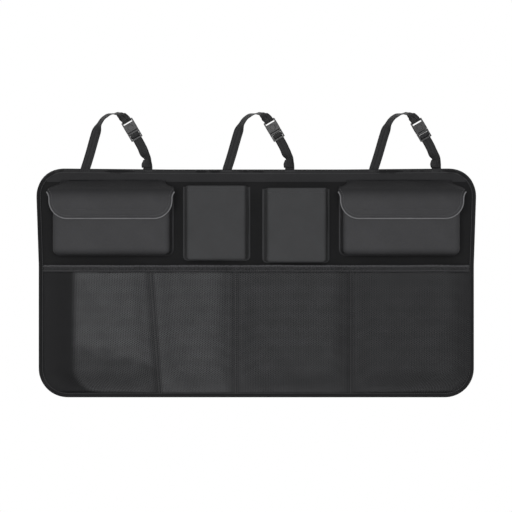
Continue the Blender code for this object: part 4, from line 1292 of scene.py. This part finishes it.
def long_run():
    """(place, width direction) of the long webbing from the panel to the socket's bar."""
    lean = Vector((0.3256, 0, 0.9455)) * STRAP_RISE * 0.73
    points = interpolate_bezier(Vector((0, 0, 0)), lean, APEX - Vector((0.34 * STRAP_SPAN, 0, 0)), APEX, 56)
    start = BAR - DOWN * 0.001
    pull = BUCKLE_REACH / 2
    over = APEX + Vector((0.55 * pull, 0, -0.12 * pull))
    points += interpolate_bezier(APEX, over, start - DOWN * 0.35 * pull, start, 30)[1:]
    walked = [0.0]
    for before, after in zip(points, points[1:]):
        walked.append(walked[-1] + (after - before).length)
    front = BUCKLE_MIDDLE - BAR_OFFSET
    run = [(Vector((0, LOAD_LINE, -STRAP_TAB * part)), Vector((1, 0, 0))) for part in (1, 0.7, 0.35)]
    for index, point in enumerate(points):
        part = walked[index] / walked[-1]
        depth = LOAD_LINE + (front - LOAD_LINE) * smoothstep(part / TWIST_STOPS[-2][0])
        along = (points[min(index + 1, len(points) - 1)] - points[max(index - 1, 0)]).normalized()
        flat = Vector((along.z, 0, -along.x))
        angle = -math.pi / 2 * twist_at(part)
        width = flat * math.cos(angle) + Vector((0, math.sin(angle), 0))
        run.append((Vector((point.x, depth, point.z)), width))
    return run


def long_webbing():
    """From the panel up over the top of the loop, round the socket's bar and sewn to itself."""
    main = long_run()
    across = Vector((DOWN.z, 0, -DOWN.x))
    inner = SOCKET_BODY + SOCKET_SLOT - SEAM_GAP - WEBBING_THICK / 2
    top = SOCKET_LENGTH + 0.001
    bend = SEAM_GAP + WEBBING_THICK / 2
    corners = [(top, BAR_OFFSET), (inner, BAR_OFFSET), (inner, -BAR_OFFSET), (top, -BAR_OFFSET)]
    wrap = rounded_path(corners, (bend, bend))
    run = main + [(buckle_place(*point), across) for point in wrap[1:]]
    walked = 0.0
    for index in range(len(main) - 2, 0, -1):
        place, side = main[index]
        walked += (place - main[index + 1][0]).length
        if walked > SEWN_RETURN:
            break
        step = 2 * BAR_OFFSET + (WEBBING_STEP - 2 * BAR_OFFSET) * smoothstep(walked / (2 * BAR_OFFSET))
        run.append((place + Vector((0, step, 0)), side))
    return run


def short_webbing():
    """From the panel up to the ladder, over its middle bar and down again as the folded tail."""
    ladder_end = -PLUG_SHOULDER - 2 * (LADDER_SLOT + LADDER_BAR)
    exit_place = MATE - DOWN * (ladder_end - WEBBING_THICK)
    root = Vector((STRAP_SPAN, 0, 0))
    pull = (exit_place - root).length / 3
    leg = interpolate_bezier(root, root + Vector((0, 0, pull)), exit_place + DOWN * pull, exit_place, 30)
    across = Vector((-DOWN.z, 0, DOWN.x))
    run = [(Vector((root.x, LOAD_LINE, -STRAP_TAB * part)), Vector((1, 0, 0))) for part in (1, 0.7, 0.35)]
    flats, sides, faces, shifts = [], [], [], []
    for index in range(len(leg)):
        along = leg[min(index + 1, len(leg) - 1)] - leg[max(index - 1, 0)]
        flats.append(Vector((along.z, 0, -along.x)).normalized())
        turn = TURN_ANGLE * hump(leg[index].z - TURN_LEVEL, TURN_REACH)
        sides.append(flats[-1] * math.cos(turn) + FRONTWARD * math.sin(turn))
        faces.append(FRONTWARD * math.cos(turn) - flats[-1] * math.sin(turn))
        shifts.append(flats[-1] * (0.5 * WEBBING_WIDTH * (1 - math.cos(turn))))
    leg = [point + shift for point, shift in zip(leg, shifts)]
    run += [(Vector((point.x, LOAD_LINE, point.z)), side) for point, side in zip(leg[:-1], sides)]
    bar_low = -PLUG_SHOULDER - LADDER_SLOT - LADDER_BAR
    bend = SEAM_GAP + WEBBING_THICK / 2
    behind, far = -BAR_OFFSET, -BAR_OFFSET - WEBBING_STEP
    ladder = rounded_path(
        [
            (ladder_end - WEBBING_THICK, far),
            (bar_low - LADDER_SLOT, far),
            (bar_low, behind),
            (bar_low + LADDER_BAR + bend + WRAP_SLACK, behind),
            (bar_low + LADDER_BAR + bend + WRAP_SLACK, BAR_OFFSET),
            (bar_low - bend / 2, BAR_OFFSET),
            (bar_low - LADDER_SLOT + bend / 2, behind),
            (ladder_end - WEBBING_THICK, behind),
        ],
        (bend,) * 6,
    )
    run += [(buckle_place(*point), across) for point in ladder]
    tail, hem = LOAD_LINE - WEBBING_STEP, LOAD_LINE - WEBBING_STEP - TAIL_FOLD
    slips = []
    for point, side, face in reversed(list(zip(leg[:-1], sides, faces))):
        if point.z > TAIL_LOW + TAIL_FOLD:
            slip = -TAIL_SLIP * (1 - smoothstep((point.z - TAIL_LOW) / (3 * TAIL_HEM)))
            slips.append((point + side * slip, side, face))
            run.append((slips[-1][0] + Vector((0, LOAD_LINE, 0)) + face * (LOAD_LINE - tail), side))
    turn = Vector((slips[-1][0].x, (tail + hem) / 2, TAIL_LOW))
    for angle in range(0, 181, 30):
        spoke = math.radians(angle)
        swing = Vector((0, math.cos(spoke), -math.sin(spoke))) * (TAIL_FOLD / 2)
        run.append((turn + swing, Vector((1, 0, 0))))
    walked = 0.0
    for index in range(len(slips) - 1, 0, -1):
        walked += (slips[index][0] - slips[index - 1][0]).length
        place, side, face = slips[index]
        run.append((place + Vector((0, LOAD_LINE, 0)) + face * (LOAD_LINE - hem), side))
        if walked > TAIL_HEM:
            break
    return run


def webbing_mesh(name, run, root):
    """Webbing through (place, width direction) pairs, its face a little crowned."""
    sizes = bpy.context.scene.organizer_sizes
    rows = []
    for index, (place, side) in enumerate(run):
        along = run[min(index + 1, len(run) - 1)][0] - run[max(index - 1, 0)][0]
        face = along.cross(side).normalized()
        across = face.cross(along).normalized()
        row = []
        for part in np.linspace(-1, 1, 9):
            crown = 0.0002 * (1 - part * part)
            row.append(root + place + across * (part * sizes.webbing_width / 2) + face * crown)
        rows.append(row)
    return woven_mesh(name, rows)


class ORGANIZER_OT_straps(bpy.types.Operator):
    """Thread the three headrest straps through their buckles and tack them down"""

    bl_idname = "organizer.straps"
    bl_label = "Headrest straps"

    def execute(self, context):
        sizes = context.scene.organizer_sizes
        runs = {"long_webbing": long_webbing(), "short_webbing": short_webbing()}
        for side, x in zip(("left", "centre", "right"), STRAP_ROOTS):
            root = Vector((x, 0, PANEL_TOP))
            tacks = []
            for kind, run in runs.items():
                name = f"strap_{side}_{kind.split('_')[0]}"
                mesh = webbing_mesh(name, run, root)
                node = f"strap_{side}_{kind}"
                piece = add_piece(name, mesh, "webbing", [node], (sizes.webbing_thick, 0))
                total = sum((b[0] - a[0]).length for a, b in zip(run, run[1:]))
            for foot in (0.0, STRAP_SPAN):
                for level in (-0.0035, -0.006):
                    middle = root + Vector((foot, PANEL_FRONT - 0.0013, level))
                    ends = [middle + Vector((part, 0, 0)) for part in (-0.0085, 0.0085)]
                    tacks.append((ends, FRONTWARD, False))
            main = long_run()
            for back in (4, 8):
                place, across = main[-back]
                ends = [root + place + across * part + Vector((0, -0.0011, 0)) for part in (-0.008, 0.008)]
                tacks.append((ends, FRONTWARD, False))
            sew(f"strap_{side}_stitching", tacks)
            for half in ("socket", "plug"):
                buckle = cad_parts[f"strap_{side}_buckle_{half}"]
                buckle.data.materials.clear()
                buckle.data.materials.append(finish("plastic"))
                weld = buckle.modifiers.new("Weld", "WELD")
                weld.merge_threshold = 0.00002
                edge = buckle.modifiers.new("Edges", "BEVEL")
                edge.width = 0.00025
                edge.segments = 2
                edge.limit_method = "ANGLE"
        return {"FINISHED"}


class ORGANIZER_OT_back_tapes(bpy.types.Operator):
    """Sew the hook tapes on the hidden side"""

    bl_idname = "organizer.back_tapes"
    bl_label = "Back hook tapes"

    def execute(self, context):
        runs = []
        for side in ("left", "right"):
            node = f"back_hook_tape_{side}"
            low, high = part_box(node)
            add_tape(node, 60)
            inset = 0.0022
            corners = [
                Vector((x, high.y + 0.0001, z))
                for x, z in (
                    (low.x + inset, low.z + inset),
                    (high.x - inset, low.z + inset),
                    (high.x - inset, high.z - inset),
                    (low.x + inset, high.z - inset),
                )
            ]
            runs.append((corners, -FRONTWARD, True))
        sew("back_tape_stitching", runs)
        return {"FINISHED"}


def area_lamp(name, place, aim, size, power):
    data = bpy.data.lights.new(name, "AREA")
    data.shape = "RECTANGLE"
    data.size, data.size_y = size
    data.energy = power
    lamp = bpy.data.objects.new(name, data)
    bpy.context.scene.collection.objects.link(lamp)
    lamp.location = place
    lamp.rotation_mode = "QUATERNION"
    lamp.rotation_quaternion = (Vector(aim) - Vector(place)).to_track_quat("-Z", "Y")


def light_world(ambient):
    """A plain world: dim for the light that it gives, white where it is seen or mirrored."""
    world = bpy.data.worlds.new("studio")
    world.use_nodes = True
    bpy.context.scene.world = world
    tree = world.node_tree
    background = tree.nodes["Background"]
    background.inputs["Color"].default_value = (1, 1, 1, 1)
    paths = tree.nodes.new("ShaderNodeLightPath")
    seen = paths.outputs["Is Camera Ray"]
    for other in ("Is Glossy Ray", "Is Transmission Ray"):
        either = tree.nodes.new("ShaderNodeMath")
        either.operation = "MAXIMUM"
        tree.links.new(seen, either.inputs[0])
        tree.links.new(paths.outputs[other], either.inputs[1])
        seen = either.outputs[0]
    strength = tree.nodes.new("ShaderNodeMapRange")
    strength.inputs["To Min"].default_value = ambient
    tree.links.new(seen, strength.inputs["Value"])
    tree.links.new(strength.outputs[0], background.inputs["Strength"])


def floor_finish(colour):
    """Pale paper that is nearly white to the camera and still takes the object's shadow."""
    paper = Surface("studio_floor", 0.9, specular=0.1)
    place = paper.place()
    cloud = paper.noise(place, 0.5, 3.0)
    paper.colour(paper.mix(cloud, shade(colour, 0.98), shade(colour, 1.02)))
    seen = paper.node("ShaderNodeLightPath")
    paper.feed(paper.shader.inputs["Emission Color"], paper.mix(seen, (0, 0, 0, 1), (1, 1, 1, 1)))
    paper.shader.inputs["Emission Strength"].default_value = 0.6
    return paper.material


class ORGANIZER_OT_stage(bpy.types.Operator):
    """Set the camera, the soft lamps and the pale floor"""

    bl_idname = "organizer.stage"
    bl_label = "Stage"

    def execute(self, context):
        scene = context.scene
        stage = scene.organizer_stage
        scene.view_settings.view_transform = "Standard"
        camera = bpy.data.objects.new("camera", bpy.data.cameras.new("camera"))
        scene.collection.objects.link(camera)
        camera.data.lens = stage.lens
        camera.location = (-0.0006, -stage.distance, stage.height)
        camera.rotation_euler = (math.pi / 2, 0, 0)
        scene.camera = camera
        light_world(stage.ambient)
        area_lamp("key", (-0.15, -3.0, 0.25), (0, 0, 0.03), (1.5, 0.9), stage.key)
        area_lamp("rim", (0.4, 2.6, 1.6), (0, 0, 0.05), (1.6, 1.2), stage.rim)
        reach = 3.0
        steps = np.linspace(-reach, reach, 9)
        rows = [[(x, y, -stage.floor_drop) for x in steps] for y in steps]
        floor = bpy.data.objects.new("floor", woven_mesh("floor", rows))
        scene.collection.objects.link(floor)
        floor.data.materials.append(floor_finish(tuple(stage.floor)))
        return {"FINISHED"}


OPERATORS = (
    ORGANIZER_OT_panel,
    ORGANIZER_OT_binding,
    ORGANIZER_OT_nets,
    ORGANIZER_OT_band,
    ORGANIZER_OT_flap_pockets,
    ORGANIZER_OT_centre_pockets,
    ORGANIZER_OT_straps,
    ORGANIZER_OT_back_tapes,
    ORGANIZER_OT_stage,
)


class ORGANIZER_PT_sidebar(bpy.types.Panel):
    """Lists the steps that make the organizer"""

    bl_idname = "ORGANIZER_PT_sidebar"
    bl_label = "Hanging car organizer"
    bl_space_type = "VIEW_3D"
    bl_region_type = "UI"
    bl_category = "Organizer"

    def draw(self, context):
        for operator in OPERATORS:
            self.layout.operator(operator.bl_idname)
        scene = context.scene
        for group in (scene.organizer_sizes, scene.organizer_colours, scene.organizer_stage):
            box = self.layout.box()
            for name in group.bl_rna.properties.keys():
                if name not in ("rna_type", "name"):
                    box.prop(group, name)


GROUPS = {
    "organizer_sizes": OrganizerSizes,
    "organizer_colours": OrganizerColours,
    "organizer_stage": OrganizerStage,
}


def register():
    for group in (*GROUPS.values(), *OPERATORS, ORGANIZER_PT_sidebar):
        bpy.utils.register_class(group)
    for name, group in GROUPS.items():
        setattr(bpy.types.Scene, name, PointerProperty(type=group))


def unregister():
    for name in GROUPS:
        delattr(bpy.types.Scene, name)
    for group in (ORGANIZER_PT_sidebar, *reversed(OPERATORS), *GROUPS.values()):
        bpy.utils.unregister_class(group)


def write_sizes():
    """Brings the view layer up to date."""
    bpy.context.view_layer.update()


def main():
    register()
    bpy.ops.organizer.panel()
    bpy.ops.organizer.binding()
    bpy.ops.organizer.nets()
    bpy.ops.organizer.band()
    bpy.ops.organizer.flap_pockets()
    bpy.ops.organizer.centre_pockets()
    bpy.ops.organizer.straps()
    bpy.ops.organizer.back_tapes()
    bpy.ops.organizer.stage()
    write_sizes()


if __name__ == "__main__":
    main()
